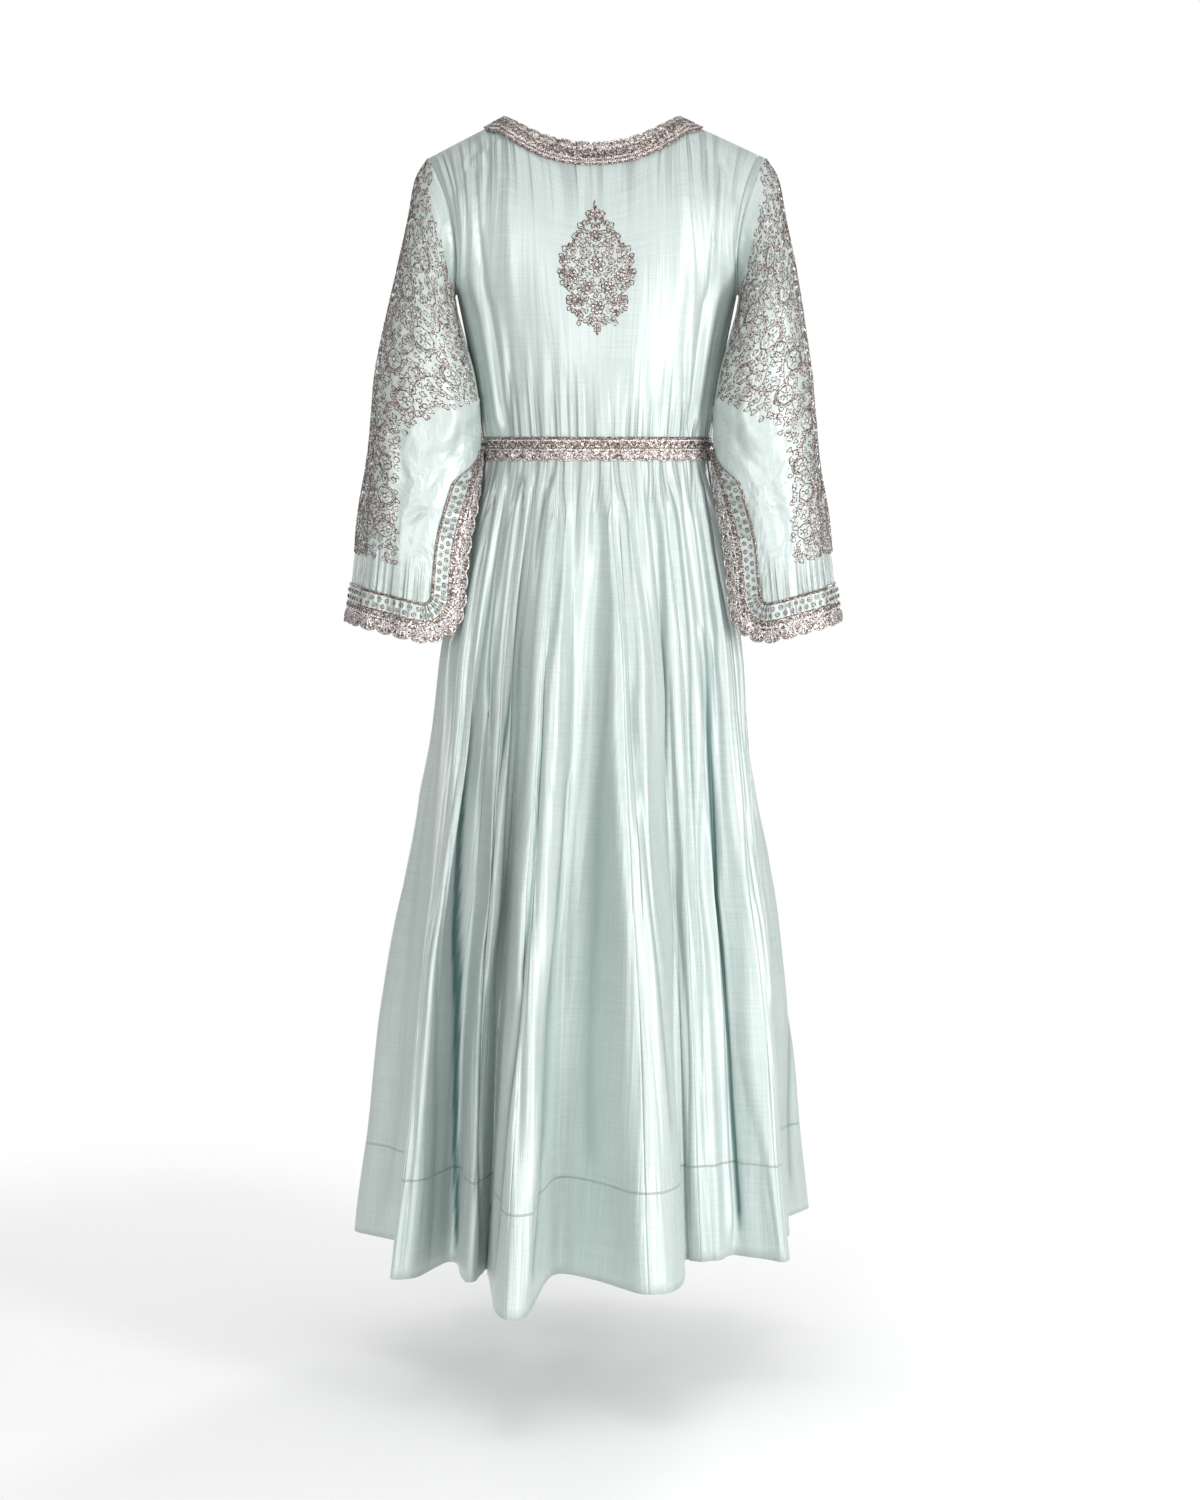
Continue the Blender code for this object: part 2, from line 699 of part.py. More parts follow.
def skirt_controls():
    """Pairs of points, at the waist and at the hem, that shape the flutes: for each flute its
    valley, then the near side, the top and the far side of its crest."""
    made = []
    for i, flute in enumerate(FLUTES):
        after = FLUTES[(i + 1) % len(FLUTES)]
        before = FLUTES[i - 1]
        bearing_before = before.waist_deg - (360 if i == 0 else 0)
        bearing_after = after.waist_deg + (360 if i == len(FLUTES) - 1 else 0)
        valley_bearing = (bearing_before + flute.waist_deg) / 2
        next_valley = (flute.waist_deg + bearing_after) / 2
        valley = Vector((flute.valley_x, flute.valley_y, 0))
        crest = Vector((flute.crest_x, flute.crest_y, 0))
        base = (valley + Vector((after.valley_x, after.valley_y, 0))) / 2
        out = (crest - base).normalized()
        breadth = Vector((out.y, -out.x, 0)) * flute.half_breadth
        near = (valley_bearing + flute.waist_deg) / 2
        far = (flute.waist_deg + next_valley) / 2
        made.append((waist_spot(valley_bearing), valley))
        crest.z = -flute.drop
        made.append((waist_spot(near), crest - breadth))
        made.append((waist_spot(flute.waist_deg), crest + out * CREST_RISE))
        made.append((waist_spot(far), crest + breadth))
    return made


def skirt_point(controls, place, down):
    """The skirt's outer face. place counts control points round the ring, and down runs from the
    waist seam, 0, to the hem, 1."""
    opened = between(OPENING, down)[0]
    hip = HIP_RISE * math.sin(math.pi * min(1.0, down / HIP_END))
    base = math.floor(place)
    share = place - base
    weights = (
        (1 - share) ** 3 / 6,
        (3 * share**3 - 6 * share**2 + 4) / 6,
        (-3 * share**3 + 3 * share**2 + 3 * share + 1) / 6,
        share**3 / 6,
    )
    point, slope = Vector((0, 0, 0)), Vector((0, 0, 0))
    for offset, weight in enumerate(weights):
        waist, hem = controls[(base - 1 + offset) % len(controls)]
        spot = waist.lerp(hem, opened) + waist.normalized() * hip
        point += spot * weight
        slope += spot * (offset - 1.5)
    pleat = PLEAT_DEPTH * eased((down - PLEAT_START) / (PLEAT_FULL - PLEAT_START))
    pleat *= 1 - eased((down - PLEAT_FULL) / (PLEAT_END - PLEAT_FULL))
    across = Vector((-slope.y, slope.x, 0)).normalized()
    point += across * pleat * math.cos(2 * math.pi * PLEATS_A_FLUTE * place / 4)
    point.z += WAIST_Z + (HEM_Z - WAIST_Z) * down
    return point


def skirt(finish):
    """Fifteen flared panels, cut from one ring of flutes and parted at their seams."""
    controls = skirt_controls()
    count = len(FLUTES) * POINTS_A_FLUTE
    grid = []
    for down in SKIRT_ROWS:
        line = [skirt_point(controls, 4 * c / POINTS_A_FLUTE, down) for c in range(count)]
        line.append(line[0].copy())
        grid.append(line)
    grid[0] = [point - Vector((0, 0, SEAM_GAP / 2)) for point in grid[0]]
    normals = ring_normals(grid)
    inside = moved_ring(grid, normals, -WALL)
    for i in range(len(FLUTES)):
        first = i * POINTS_A_FLUTE + SEAM_POINT
        columns = [(first + step) % count for step in range(POINTS_A_FLUTE + 1)]
        outer = [[line[c] for c in columns] for line in grid]
        inner = [[line[c] for c in columns] for line in inside]
        wall(
            f"skirt_panel_{i + 1:02d}",
            drawn_in(outer, SEAM_GAP / 2),
            drawn_in(inner, SEAM_GAP / 2),
            finish,
        )


def bend(before, point, after):
    """The direction of a line of points where it passes a point, halfway between its two legs."""
    return ((point - before).normalized() + (after - point).normalized()).normalized()


def ring_normals(grid):
    """Outward normals of a grid of closed rings whose points run clockwise seen from above."""
    rows, count = len(grid), len(grid[0]) - 1
    found = []
    for r, line in enumerate(grid):
        normals = []
        for c in range(count):
            along = bend(line[(c - 1) % count], line[c], line[(c + 1) % count])
            drop = grid[min(r + 1, rows - 1)][c] - grid[max(r - 1, 0)][c]
            normals.append(along.cross(drop).normalized())
        found.append(normals)
    return found


def moved_ring(grid, normals, distance):
    """The rings moved along their normals, further where they bend sharply, so that the wall
    keeps its thickness."""
    made = []
    for line, line_normals in zip(grid, normals):
        count = len(line_normals)
        points = []
        for c, normal in enumerate(line_normals):
            along = bend(line[(c - 1) % count], line[c], line[(c + 1) % count])
            side = (line[(c + 1) % count] - line[c]).normalized()
            slant = max(1 / MOST_MITRE, abs(side.dot(along)))
            points.append(line[c] + normal * (distance / slant))
        made.append(points)
    return made


def main():
    for thing in list(bpy.data.objects):
        bpy.data.objects.remove(thing)
    silk = material("silk", SILK, 0.42)
    border = material("embroidered_border", BORDER, 0.40, 0.35)
    bodice_panel("bodice_back", 1, silk)
    bodice_panel("bodice_front", -1, silk)
    neckband("neckband_back", 1, border)
    neckband("neckband_front", -1, border)
    waistband("waistband_back", 1, border)
    waistband("waistband_front", -1, border)
    for word, flip in (("left", 1), ("right", -1)):
        sleeve(f"sleeve_{word}", flip, silk)
        cuff_border(f"cuff_border_{word}", flip, border)
    skirt(silk)


main()
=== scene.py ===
"""An anarkali gown of mint raw silk, hollow as when it is worn and seen from the back.

Metres, +Z up. The wearer faces -Y, and the wearer's left is +X. The cloth is cut, folded and
hung in the order in which the gown is put together: bodice, neckband, sleeves, cuff borders,
skirt and waistband, all but the skirt with embroidery of their own.
"""

import math

import bmesh
import bpy
import numpy as np
from mathutils import Matrix, Vector
from mathutils.bvhtree import BVHTree


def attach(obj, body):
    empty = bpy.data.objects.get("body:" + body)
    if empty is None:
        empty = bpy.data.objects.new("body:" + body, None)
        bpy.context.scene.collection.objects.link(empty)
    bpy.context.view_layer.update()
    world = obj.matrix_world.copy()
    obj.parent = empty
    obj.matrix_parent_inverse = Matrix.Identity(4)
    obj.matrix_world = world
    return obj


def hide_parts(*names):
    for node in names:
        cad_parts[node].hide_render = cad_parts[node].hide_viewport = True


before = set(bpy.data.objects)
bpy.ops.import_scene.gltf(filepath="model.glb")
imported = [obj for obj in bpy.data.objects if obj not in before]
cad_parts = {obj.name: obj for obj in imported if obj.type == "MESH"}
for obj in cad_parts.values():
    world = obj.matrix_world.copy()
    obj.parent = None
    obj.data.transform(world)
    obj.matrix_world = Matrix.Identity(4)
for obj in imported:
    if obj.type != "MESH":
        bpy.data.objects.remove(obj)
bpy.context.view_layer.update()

# ---- Camera ----
# It stands four metres behind the gown, a little above its middle, and looks slightly down.

CAMERA_PLACE, CAMERA_PITCH = (-0.0036, 4.0, -0.382), math.radians(5.25)


def placed(name, data):
    """A new object in the scene that shows the data."""
    made = bpy.data.objects.new(name, data)
    bpy.context.scene.collection.objects.link(made)
    return made


lens = bpy.data.cameras.new("camera")
lens.lens, lens.sensor_width, lens.sensor_fit = 80, 36, "AUTO"
camera = placed("camera", lens)
camera.location = CAMERA_PLACE
aim = Vector((0, -math.cos(CAMERA_PITCH), -math.sin(CAMERA_PITCH)))
camera.rotation_euler = aim.to_track_quat("-Z", "Y").to_euler()
bpy.context.scene.camera = camera
bpy.context.scene.view_settings.view_transform = "Standard"

# ---- Bodice ----
# Two panels of raw silk, back and front, sewn at the sides and shoulders. Both are gathered
# under the neckband and again into the waist seam.

WAIST_Z, UNDERARM_Z, HEM_Z = -0.388, -0.205, -1.354
TORSO = (  # height, half the width, depth behind and before the side seam
    (WAIST_Z, 0.1370, 0.0940, 0.1060),
    (-0.374, 0.1386, 0.0945, 0.1080),
    (-0.340, 0.1432, 0.0965, 0.1150),
    (-0.305, 0.1482, 0.0990, 0.1230),
    (-0.262, 0.1552, 0.1020, 0.1280),
    (UNDERARM_Z, 0.1665, 0.1030, 0.1180),
)
ARMHOLE = {"outer": (0.2003, 0, -0.0455), "inner": (0.1683, 0, -0.2053), "deep": 0.06, "scoop": 0.015}
NECK = {1: (0.070, 0.0345), -1: (0.084, 0.098)}  # depth and drop, behind and before
NECK_X, NECK_LEAN = 0.1035, 0.006
BUST = {"x": 0.082, "z": -0.258, "reach": 0.070, "rise": 0.012}

# Folds of the back panel: a path of (across, height) places from the strong end to the weak one,
# how high it stands, and its width to the wearer's right and left
BACK_FOLDS = [
    (((0.53, 0.06), (0.47, 0.55), (0.44, 0.97)), -0.0022, 0.012, 0.012),
    (((0.53, 0.25), (0.505, 0.60), (0.505, 0.90), (0.50, 1.15)), 0.0028, 0.022, 0.020),
    (((0.555, 0.06), (0.56, 0.58), (0.56, 0.90), (0.60, 1.15), (0.67, 1.50)), -0.0050, 0.016, 0.022),
    (((0.70, 1.66), (0.66, 1.35), (0.59, 1.12), (0.56, 0.85)), -0.0040, 0.016, 0.020),
    (((0.61, 0.10), (0.62, 0.58), (0.63, 0.90), (0.72, 1.25), (0.76, 1.50)), 0.0040, 0.028, 0.035),
    (((0.60, 1.70), (0.58, 1.60), (0.59, 1.52), (0.62, 1.38)), -0.0030, 0.014, 0.016),
    (((0.655, 1.72), (0.635, 1.60), (0.64, 1.50), (0.65, 1.42)), 0.0028, 0.018, 0.018),
    (((0.70, 1.72), (0.75, 1.64), (0.81, 1.56)), -0.0030, 0.014, 0.016),
    (((0.52, 1.72), (0.51, 1.55), (0.50, 1.35)), 0.0022, 0.020, 0.026),
    (((0.86, 1.62), (0.80, 1.20), (0.72, 0.55)), 0.0042, 0.050, 0.075),
    (((0.76, 1.75), (0.69, 1.30), (0.60, 0.75)), 0.0036, 0.035, 0.060),
    (((0.66, 1.80), (0.60, 1.45), (0.55, 1.05)), -0.0028, 0.035, 0.040),
    (((0.93, 1.45), (0.88, 1.00), (0.80, 0.45)), -0.0034, 0.040, 0.035),
    (((0.44, 1.50), (0.41, 1.00), (0.40, 0.40)), 0.0018, 0.040, 0.050),
    (((-0.53, 0.06), (-0.48, 0.52), (-0.45, 0.93)), -0.0022, 0.012, 0.012),
    (((-0.54, 0.25), (-0.51, 0.65), (-0.49, 1.10)), 0.0026, 0.020, 0.022),
    (((-0.565, 0.06), (-0.57, 0.55), (-0.56, 0.92), (-0.62, 1.18), (-0.68, 1.46)), -0.0046, 0.021, 0.016),
    (((-0.71, 1.66), (-0.66, 1.38), (-0.60, 1.12), (-0.57, 0.88)), -0.0038, 0.020, 0.016),
    (((-0.62, 0.10), (-0.63, 0.60), (-0.64, 0.92), (-0.72, 1.22), (-0.77, 1.48)), 0.0038, 0.034, 0.028),
    (((-0.61, 1.70), (-0.59, 1.58), (-0.62, 1.40)), -0.0028, 0.016, 0.014),
    (((-0.71, 1.71), (-0.76, 1.62), (-0.82, 1.54)), -0.0028, 0.016, 0.014),
    (((-0.53, 1.72), (-0.51, 1.56), (-0.50, 1.38)), 0.0020, 0.026, 0.020),
    (((-0.87, 1.60), (-0.79, 1.10), (-0.70, 0.50)), 0.0040, 0.070, 0.050),
    (((-0.75, 1.74), (-0.68, 1.35), (-0.58, 0.80)), 0.0034, 0.055, 0.040),
    (((-0.94, 1.42), (-0.87, 0.95), (-0.82, 0.40)), -0.0032, 0.035, 0.040),
    (((-0.42, 1.48), (-0.40, 1.05), (-0.38, 0.45)), 0.0018, 0.050, 0.040),
]
FRONT_FOLDS = [
    (((0.52, 0.06), (0.50, 0.40), (0.49, 0.72)), -0.0022, 0.012, 0.012),
    (((0.60, 0.08), (0.57, 0.45), (0.54, 0.85)), 0.0026, 0.050, 0.060),
    (((0.88, 1.55), (0.80, 1.20), (0.66, 0.90)), 0.0040, 0.050, 0.070),
    (((0.95, 1.25), (0.86, 0.98), (0.70, 0.80)), 0.0034, 0.050, 0.050),
    (((-0.52, 0.06), (-0.49, 0.38), (-0.50, 0.70)), -0.0022, 0.012, 0.012),
    (((-0.61, 0.08), (-0.56, 0.50), (-0.53, 0.88)), 0.0026, 0.060, 0.050),
    (((-0.87, 1.58), (-0.78, 1.22), (-0.64, 0.92)), 0.0040, 0.070, 0.050),
    (((-0.94, 1.22), (-0.84, 0.95), (-0.72, 0.78)), 0.0034, 0.050, 0.050),
]
# Gathers: the place across, how far up or down they run, and how high they stand in millimetres
WAIST_GATHERS = (
    (-0.44, 0.42, 1.1), (-0.385, 0.62, 1.6), (-0.335, 0.40, 1.0), (-0.29, 0.75, 1.9),
    (-0.235, 0.50, 1.3), (-0.185, 0.68, 1.7), (-0.14, 0.36, 1.0), (-0.095, 0.60, 1.6),
    (-0.045, 0.44, 1.2), (0.0, 0.66, 1.8), (0.05, 0.40, 1.1), (0.095, 0.72, 1.8),
    (0.145, 0.46, 1.2), (0.19, 0.85, 2.0), (0.24, 0.52, 1.3), (0.285, 0.70, 1.8),
    (0.335, 0.44, 1.2), (0.38, 0.80, 1.9), (0.43, 0.50, 1.2),
)
NECK_GATHERS = (
    (-0.40, 0.30, 0.8), (-0.34, 0.42, 1.1), (-0.285, 0.36, 1.0), (-0.235, 0.55, 1.4),
    (-0.19, 0.62, 1.6), (-0.14, 0.48, 1.3), (-0.10, 0.60, 1.7), (-0.06, 0.45, 1.2),
    (-0.012, 0.58, 1.5), (0.04, 0.50, 1.3), (0.09, 0.66, 1.7), (0.125, 0.52, 1.3),
    (0.16, 0.64, 1.7), (0.195, 0.55, 1.4), (0.25, 0.44, 1.2), (0.31, 0.38, 1.0),
    (0.37, 0.30, 0.8),
)
BODICE_COLUMNS, BODICE_ROWS = 133, 121
BODICE_CUT = (0.21, 0.195)  # metres of flat cloth for each step across and up the bodice
CLOTH_WALL, SEAM_MERGE = 0.0008, 0.00002
SILK_DARK, SILK_LIGHT = (0.455, 0.525, 0.505, 1), (0.535, 0.605, 0.585, 1)
# Dark teal, painted into the deepest creases as shade
SILK_PAINTED_CREASE_SHADE = (0.070, 0.150, 0.137, 1)


def eased(value):
    """0 to 1, with a soft start and end."""
    value = np.clip(value, 0, 1)
    return value * value * (3 - 2 * value)


def between(table, at):
    """The columns of a table at places in its first one, on a smooth curve through its rows."""
    rows = np.array(table, float)
    last = len(rows) - 1
    at = np.asarray(at, float)
    low = np.clip(np.searchsorted(rows[1:, 0], at), 0, last - 1)
    first, second = rows[low], rows[low + 1]
    before, after = rows[np.maximum(low - 1, 0)], rows[np.minimum(low + 2, last)]
    span = second[..., :1] - first[..., :1]
    share = (at[..., None] - first[..., :1]) / span
    leave = (second - before) / (second[..., :1] - before[..., :1]) * span
    reach = (after - first) / (after[..., :1] - first[..., :1]) * span
    cube, square = share**3, share**2
    found = first * (2 * cube - 3 * square + 1) + leave * (cube - 2 * square + share)
    found += second * (3 * square - 2 * cube) + reach * (cube - square)
    return np.moveaxis(found[..., 1:], -1, 0)


def torso(side, across, z):
    """The torso below the underarm. across is -1 to 1 between the side seams."""
    half, back, front = between(TORSO, z)
    turn = across * math.pi / 2
    return np.stack([half * np.sin(turn), side * (back if side > 0 else front) * np.cos(turn), z], -1)


def armhole(rise):
    """The armhole seam behind, from the underarm, 0, to the shoulder tip, 1."""
    turn = math.pi * np.asarray(rise, float)[..., None]
    outer, inner = np.array(ARMHOLE["outer"]), np.array(ARMHOLE["inner"])
    point = (outer + inner) / 2 - (outer - inner) / 2 * np.cos(turn)
    point[..., 1] = ARMHOLE["deep"] * np.sin(turn[..., 0])
    point[..., 0] -= ARMHOLE["scoop"] * np.sin(turn[..., 0]) ** 2
    return point


def neck_and_shoulder(side, across):
    """The top edge: the neckline in the middle, and a shoulder seam on each side of it."""
    share, sign = np.abs(across), np.sign(across)
    tip, (depth, drop) = armhole(1.0), NECK[side]
    out = np.clip((share - 0.5) * 2, 0, 1)
    turn = np.clip(share * 2, 0, 1) * math.pi / 2
    x = sign * NECK_X * np.sin(turn) + sign * (tip[0] - NECK_X) * out + NECK_LEAN * (1 - out)
    y = side * depth * np.cos(turn)
    return np.stack([x, y, -drop * np.cos(turn) ** 2 + tip[2] * out], -1)


def yoke(side, across, rise):
    """The bodice from the underarm, 0, over the shoulder to its top edge, 1."""
    chest = torso(side, across, np.full(np.shape(across), UNDERARM_Z))
    top = neck_and_shoulder(side, across)
    rounding = 0.3 + 0.7 * eased(np.abs(across) * 2)
    swing = rise * math.pi / 2
    flat = (1 - rounding) * rise + rounding * (1 - np.cos(swing))
    high = (1 - rounding) * rise + rounding * np.sin(swing)
    point = chest + (top - chest) * flat[..., None]
    point[..., 2] = chest[..., 2] + (top - chest)[..., 2] * high
    edge, tip, seam = armhole(0.0), armhole(1.0), armhole(rise)
    edge[0] = TORSO[-1][1]
    seam[..., 1] *= side
    straight = edge + (tip - edge) * (1 - np.cos(swing))[..., None]
    straight[..., 2] = edge[2] + (tip - edge)[2] * np.sin(swing)
    pull = (seam - straight) * (across**2 * (1.6 - 0.6 * across**2))[..., None]
    pull[..., 0] *= np.sign(across)
    return point + pull


def bodice(side, across, height):
    """The bodice's outer face: 0 at the waist seam, 1 at the underarm and 2 at the top edge."""
    low = torso(side, across, WAIST_Z + (UNDERARM_Z - WAIST_Z) * np.clip(height, 0, 1))
    high = yoke(side, across, np.clip(height - 1, 0, 1))
    point = np.where((height <= 1)[..., None], low, high)
    if side < 0:
        for x in (-BUST["x"], BUST["x"]):
            away = np.hypot(point[..., 0] - x, point[..., 2] - BUST["z"]) / BUST["reach"]
            point[..., 1] -= BUST["rise"] * eased(1 - away)
    return point


def folded(across, down, folds, around=0, hold=0.35, scale=1.0):
    """How far folds lift each place of a cloth. Each dies out along its path past hold. scale
    turns places across into the unit of the folds' widths."""
    lift = np.zeros(np.shape(across))
    for path, height, right, left in folds:
        places, downs = np.transpose(path)
        order = np.argsort(downs)
        off = across - np.interp(down, downs[order], places[order])
        if around:
            off = (off + around / 2) % around - around / 2
        off = off * scale
        far = (down - downs[0]) / (downs[-1] - downs[0])
        fade = eased(far / 0.08) * (1 - eased((far - hold) / (1.0001 - hold)))
        lift += height * fade * np.exp(-((off / np.where(off < 0, right, left)) ** 2))
    return lift


def facing(points, out, around=False):
    """Unit normals of a grid of points, on the side that out gives for most of them."""
    if around:
        points = np.concatenate([points[:, -2:-1], points, points[:, 1:2]], 1)
    found = np.cross(np.gradient(points, axis=1), np.gradient(points, axis=0))
    found = found[:, 1:-1] if around else found
    found /= np.linalg.norm(found, axis=-1, keepdims=True) + 1e-12
    return found * np.sign((found * out).sum())


def measured(points):
    """The longest row and column of a grid of cloth, and its area: the size of its cut."""
    wide = np.linalg.norm(np.diff(points, axis=1), axis=-1)
    long = np.linalg.norm(np.diff(points, axis=0), axis=-1)
    area = (wide[:-1] * (long[:, :-1] + long[:, 1:]) / 2).sum()
    width, length = wide.sum(1).max(), long.sum(0).max()
    return (float(width), float(length)), float(min(area, width * length))


def shape_of(name, body):
    """The mesh of a finished bmesh."""
    mesh = bpy.data.meshes.new(name)
    body.to_mesh(mesh)
    body.free()
    return mesh


def looks_inwards(mesh, normals):
    """Whether a mesh's faces look against the normals of their points, by every 23rd face."""
    mesh.update()
    faces = list(mesh.polygons)[::23]
    return sum(face.normal.dot(normals[face.vertices[0]]) for face in faces) < 0


def cloth(name, points, normals, cut, finish, wall=CLOTH_WALL, shade=None):
    """A sheet of cloth through a grid of points, with its thickness on the inner side. cut is
    each point's place on the flat cloth, in metres, and is kept as its UV map. shade is how deep
    each point lies in a crease, from 0 to 1, kept as an attribute that the silk paints as shade."""
    rows, columns = points.shape[:2]
    body = bmesh.new()
    body.loops.layers.uv.new("cut")
    bmesh.ops.create_grid(body, x_segments=columns - 1, y_segments=rows - 1, size=1)
    mesh = shape_of(name, body)
    corners = np.empty(len(mesh.loops), int)
    mesh.loops.foreach_get("vertex_index", corners)
    mesh.uv_layers["cut"].data.foreach_set("uv", cut.reshape(-1, 2)[corners].ravel())
    mesh.vertices.foreach_set("co", points.reshape(-1, 3).ravel())
    if shade is not None:
        mesh.attributes.new("shade", "FLOAT", "POINT").data.foreach_set("value", shade.ravel())
    if looks_inwards(mesh, normals.reshape(-1, 3)):
        mesh.flip_normals()
    body = bmesh.new()
    body.from_mesh(mesh)
    bmesh.ops.remove_doubles(body, verts=body.verts, dist=SEAM_MERGE)
    body.to_mesh(mesh)
    body.free()
    mesh.shade_smooth()
    mesh.materials.append(finish)
    piece = placed(name, mesh)
    thickness = piece.modifiers.new("thickness", "SOLIDIFY")
    thickness.thickness, thickness.offset = wall, -1
    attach(piece, "root")
    return piece


def fed(node, inputs):
    """Gives inputs of a node a value each, or the output that feeds them."""
    for socket, value in dict(inputs).items():
        if isinstance(value, bpy.types.NodeSocket):
            node.id_data.links.new(value, node.inputs[socket])
        else:
            node.inputs[socket].default_value = value
    return node


def step(finish, kind, inputs=(), **settings):
    """One node of a finish."""
    made = finish.node_tree.nodes.new("ShaderNode" + kind)
    for setting, value in settings.items():
        setattr(made, setting, value)
    return fed(made, inputs)


def new_finish(name, inputs):
    """A new material, and its shader with the inputs that are the same all over."""
    finish = bpy.data.materials.new(name)
    finish.use_nodes = True
    return finish, fed(finish.node_tree.nodes["Principled BSDF"], inputs)


def raw_silk(name, crumpled=0.0019, creases=(60, 2.6), gathers=(), hem_line=None):
    """Mint raw silk: fine upright warp, uneven slubs across it, a crumpled hand and a satin gloss.
    creases is how close the small creases lie, across and along, and crumpled how high. gathers
    lists the seams the silk is gathered into and how far down they reach, with painted shade in
    their grooves. hem_line is where a stitched hem shows, with painted shade along its stitched
    groove. Where a cloth has a shade attribute, its creases get painted shade in dark teal."""
    finish, shader = new_finish(name, {"Metallic": 0.15, "Specular IOR Level": 0.7, "Sheen Weight": 0.2,
                                       "Sheen Roughness": 0.4, "Sheen Tint": (0.85, 0.95, 0.92, 1)})
    cut = step(finish, "UVMap", uv_map="cut").outputs["UV"]

    def noise(across, along, detail, distortion=0.0):
        place = step(finish, "Mapping", {"Vector": cut, "Scale": (across, along, 1)})
        made = step(finish, "TexNoise", {"Vector": place.outputs[0], "Scale": 1, "Detail": detail,
                                         "Distortion": distortion})
        return made.outputs["Fac"]

    def ranged(value, low, high, to_low, to_high, fall="LINEAR"):
        return step(finish, "MapRange", {"Value": value, "From Min": low, "From Max": high,
                                         "To Min": to_low, "To Max": to_high},
                    interpolation_type=fall).outputs[0]

    def sums(kind, *values):
        return step(finish, "Math", dict(enumerate(values)), operation=kind).outputs[0]

    def raised(height, strength, distance, under):
        return step(finish, "Bump", {"Height": height, "Strength": strength, "Distance": distance, **under}
                    ).outputs[0]

    slub, warp = noise(16, 620, 3), noise(900, 12, 2)
    thread = sums("ADD", slub, warp)
    cloud = ranged(noise(9, 5, 4), 0.3, 0.7, 0.95, 1.05)
    crumple = noise(*creases, 3, 0.5)
    lines = raised(thread, 0.3, 0.0004, {})
    down = step(finish, "SeparateXYZ", {0: cut}).outputs[1]
    for seam, reach in gathers:
        far = sums("ABSOLUTE", sums("SUBTRACT", down, seam))
        near = ranged(far, 0.0, reach, 1, 0, "SMOOTHSTEP")
        drawn = ranged(noise(95, 2.2, 1, 0.3), 0.36, 0.58, 1, 0, "SMOOTHSTEP")
        groove = sums("MULTIPLY", drawn, near)
        lines = raised(sums("MULTIPLY", groove, -0.0023), 0.9, 1.0, {"Normal": lines})
        # Painted shade: the colour is darkened in the grooves of the gathers
        cloud = sums("MULTIPLY", cloud, ranged(groove, 0, 1, 1, 0.74))
    if hem_line is not None:
        far = sums("ABSOLUTE", sums("SUBTRACT", down, hem_line))
        stitched = ranged(far, 0.0, 0.0016, -0.0012, 0, "SMOOTHSTEP")
        near = ranged(far, 0.0, 0.034, 1, 0, "SMOOTHSTEP")
        puckers = sums("MULTIPLY", sums("MULTIPLY", noise(120, 9, 1), near), 0.0022)
        lines = raised(sums("ADD", stitched, puckers), 0.9, 1.0, {"Normal": lines})
        # Painted shade: the colour is darkened along the stitched groove of the hem
        cloud = sums("MULTIPLY", cloud, ranged(far, 0.0004, 0.0016, 0.88, 1.0))
    woven = step(finish, "Mix", {0: ranged(thread, 0.75, 1.25, 0, 1), 6: SILK_DARK, 7: SILK_LIGHT},
                 data_type="RGBA")
    # The woven colour times its uneven tone and the painted shade of gathers and hem
    tone_and_painted_shade = step(finish, "Mix", {0: 1.0, 6: woven.outputs[2], 7: cloud}, data_type="RGBA",
                   blend_type="MULTIPLY")
    # Painted shade: where the shade attribute marks a deep crease, the colour goes to dark teal
    painted_crease_shade = step(finish, "Attribute", attribute_name="shade").outputs["Fac"]
    deep = step(finish, "Mix", {0: painted_crease_shade, 6: tone_and_painted_shade.outputs[2], 7: SILK_PAINTED_CREASE_SHADE}, data_type="RGBA")
    fed(shader, {"Base Color": deep.outputs[2], "Roughness": ranged(slub, 0.3, 0.7, 0.40, 0.50),
                 "Normal": raised(crumple, 1.0, crumpled, {"Normal": lines})})
    return finish


silk = raw_silk("mint raw silk", gathers=((0.008, 0.12), (0.352, 0.11)))
across, height = np.meshgrid(np.linspace(-1, 1, BODICE_COLUMNS), np.linspace(0, 2, BODICE_ROWS))
gathers = [(((x, start), (x * lean, start + way * run)), high / 1000, breadth, breadth)
           for table, start, way, lean, breadth in ((WAIST_GATHERS, 0.05, 1, 0.93, 0.016),
                                                    (NECK_GATHERS, 1.86, -1, 1.04, 0.015))
           for x, run, high in table]
bodices = {}
for side, word, folds in ((1, "back", BACK_FOLDS), (-1, "front", FRONT_FOLDS)):
    plain = bodice(side, across, height)
    softened = plain.copy()  # the level of the underarm, where the yoke begins, is evened out
    for _ in range(60):
        softened[1:-1] = (softened[:-2] + 2 * softened[1:-1] + softened[2:]) / 4
    near_chest = eased(1 - np.abs(height - 1) / 0.5) * (1 - across**6)
    plain += (softened - plain) * near_chest[..., None]
    out = facing(plain, plain * (1, 1, 0))
    lift = folded(across, height, folds + gathers) * (1 - across**12)
    lift *= 1 - eased((height - 1.92) / 0.07)  # flat under the neckband and at the shoulder seam
    points = plain + out * lift[..., None]
    normals = facing(points, points * (1, 1, 0))
    cut = np.stack([across, height], -1) * BODICE_CUT
    panel = cloth(f"bodice_{word}", points, normals, cut, silk)
    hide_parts(f"bodice_{word}")
    size, area = measured(points)
    bodices[side] = (points, normals)

# ---- Back motif ----
# A drop of scrolls and rosettes at the middle of the back. It is worked flat on the cloth with
# couched metal thread, domed sequins, beads and pale blue stones, all sewn down by hand.


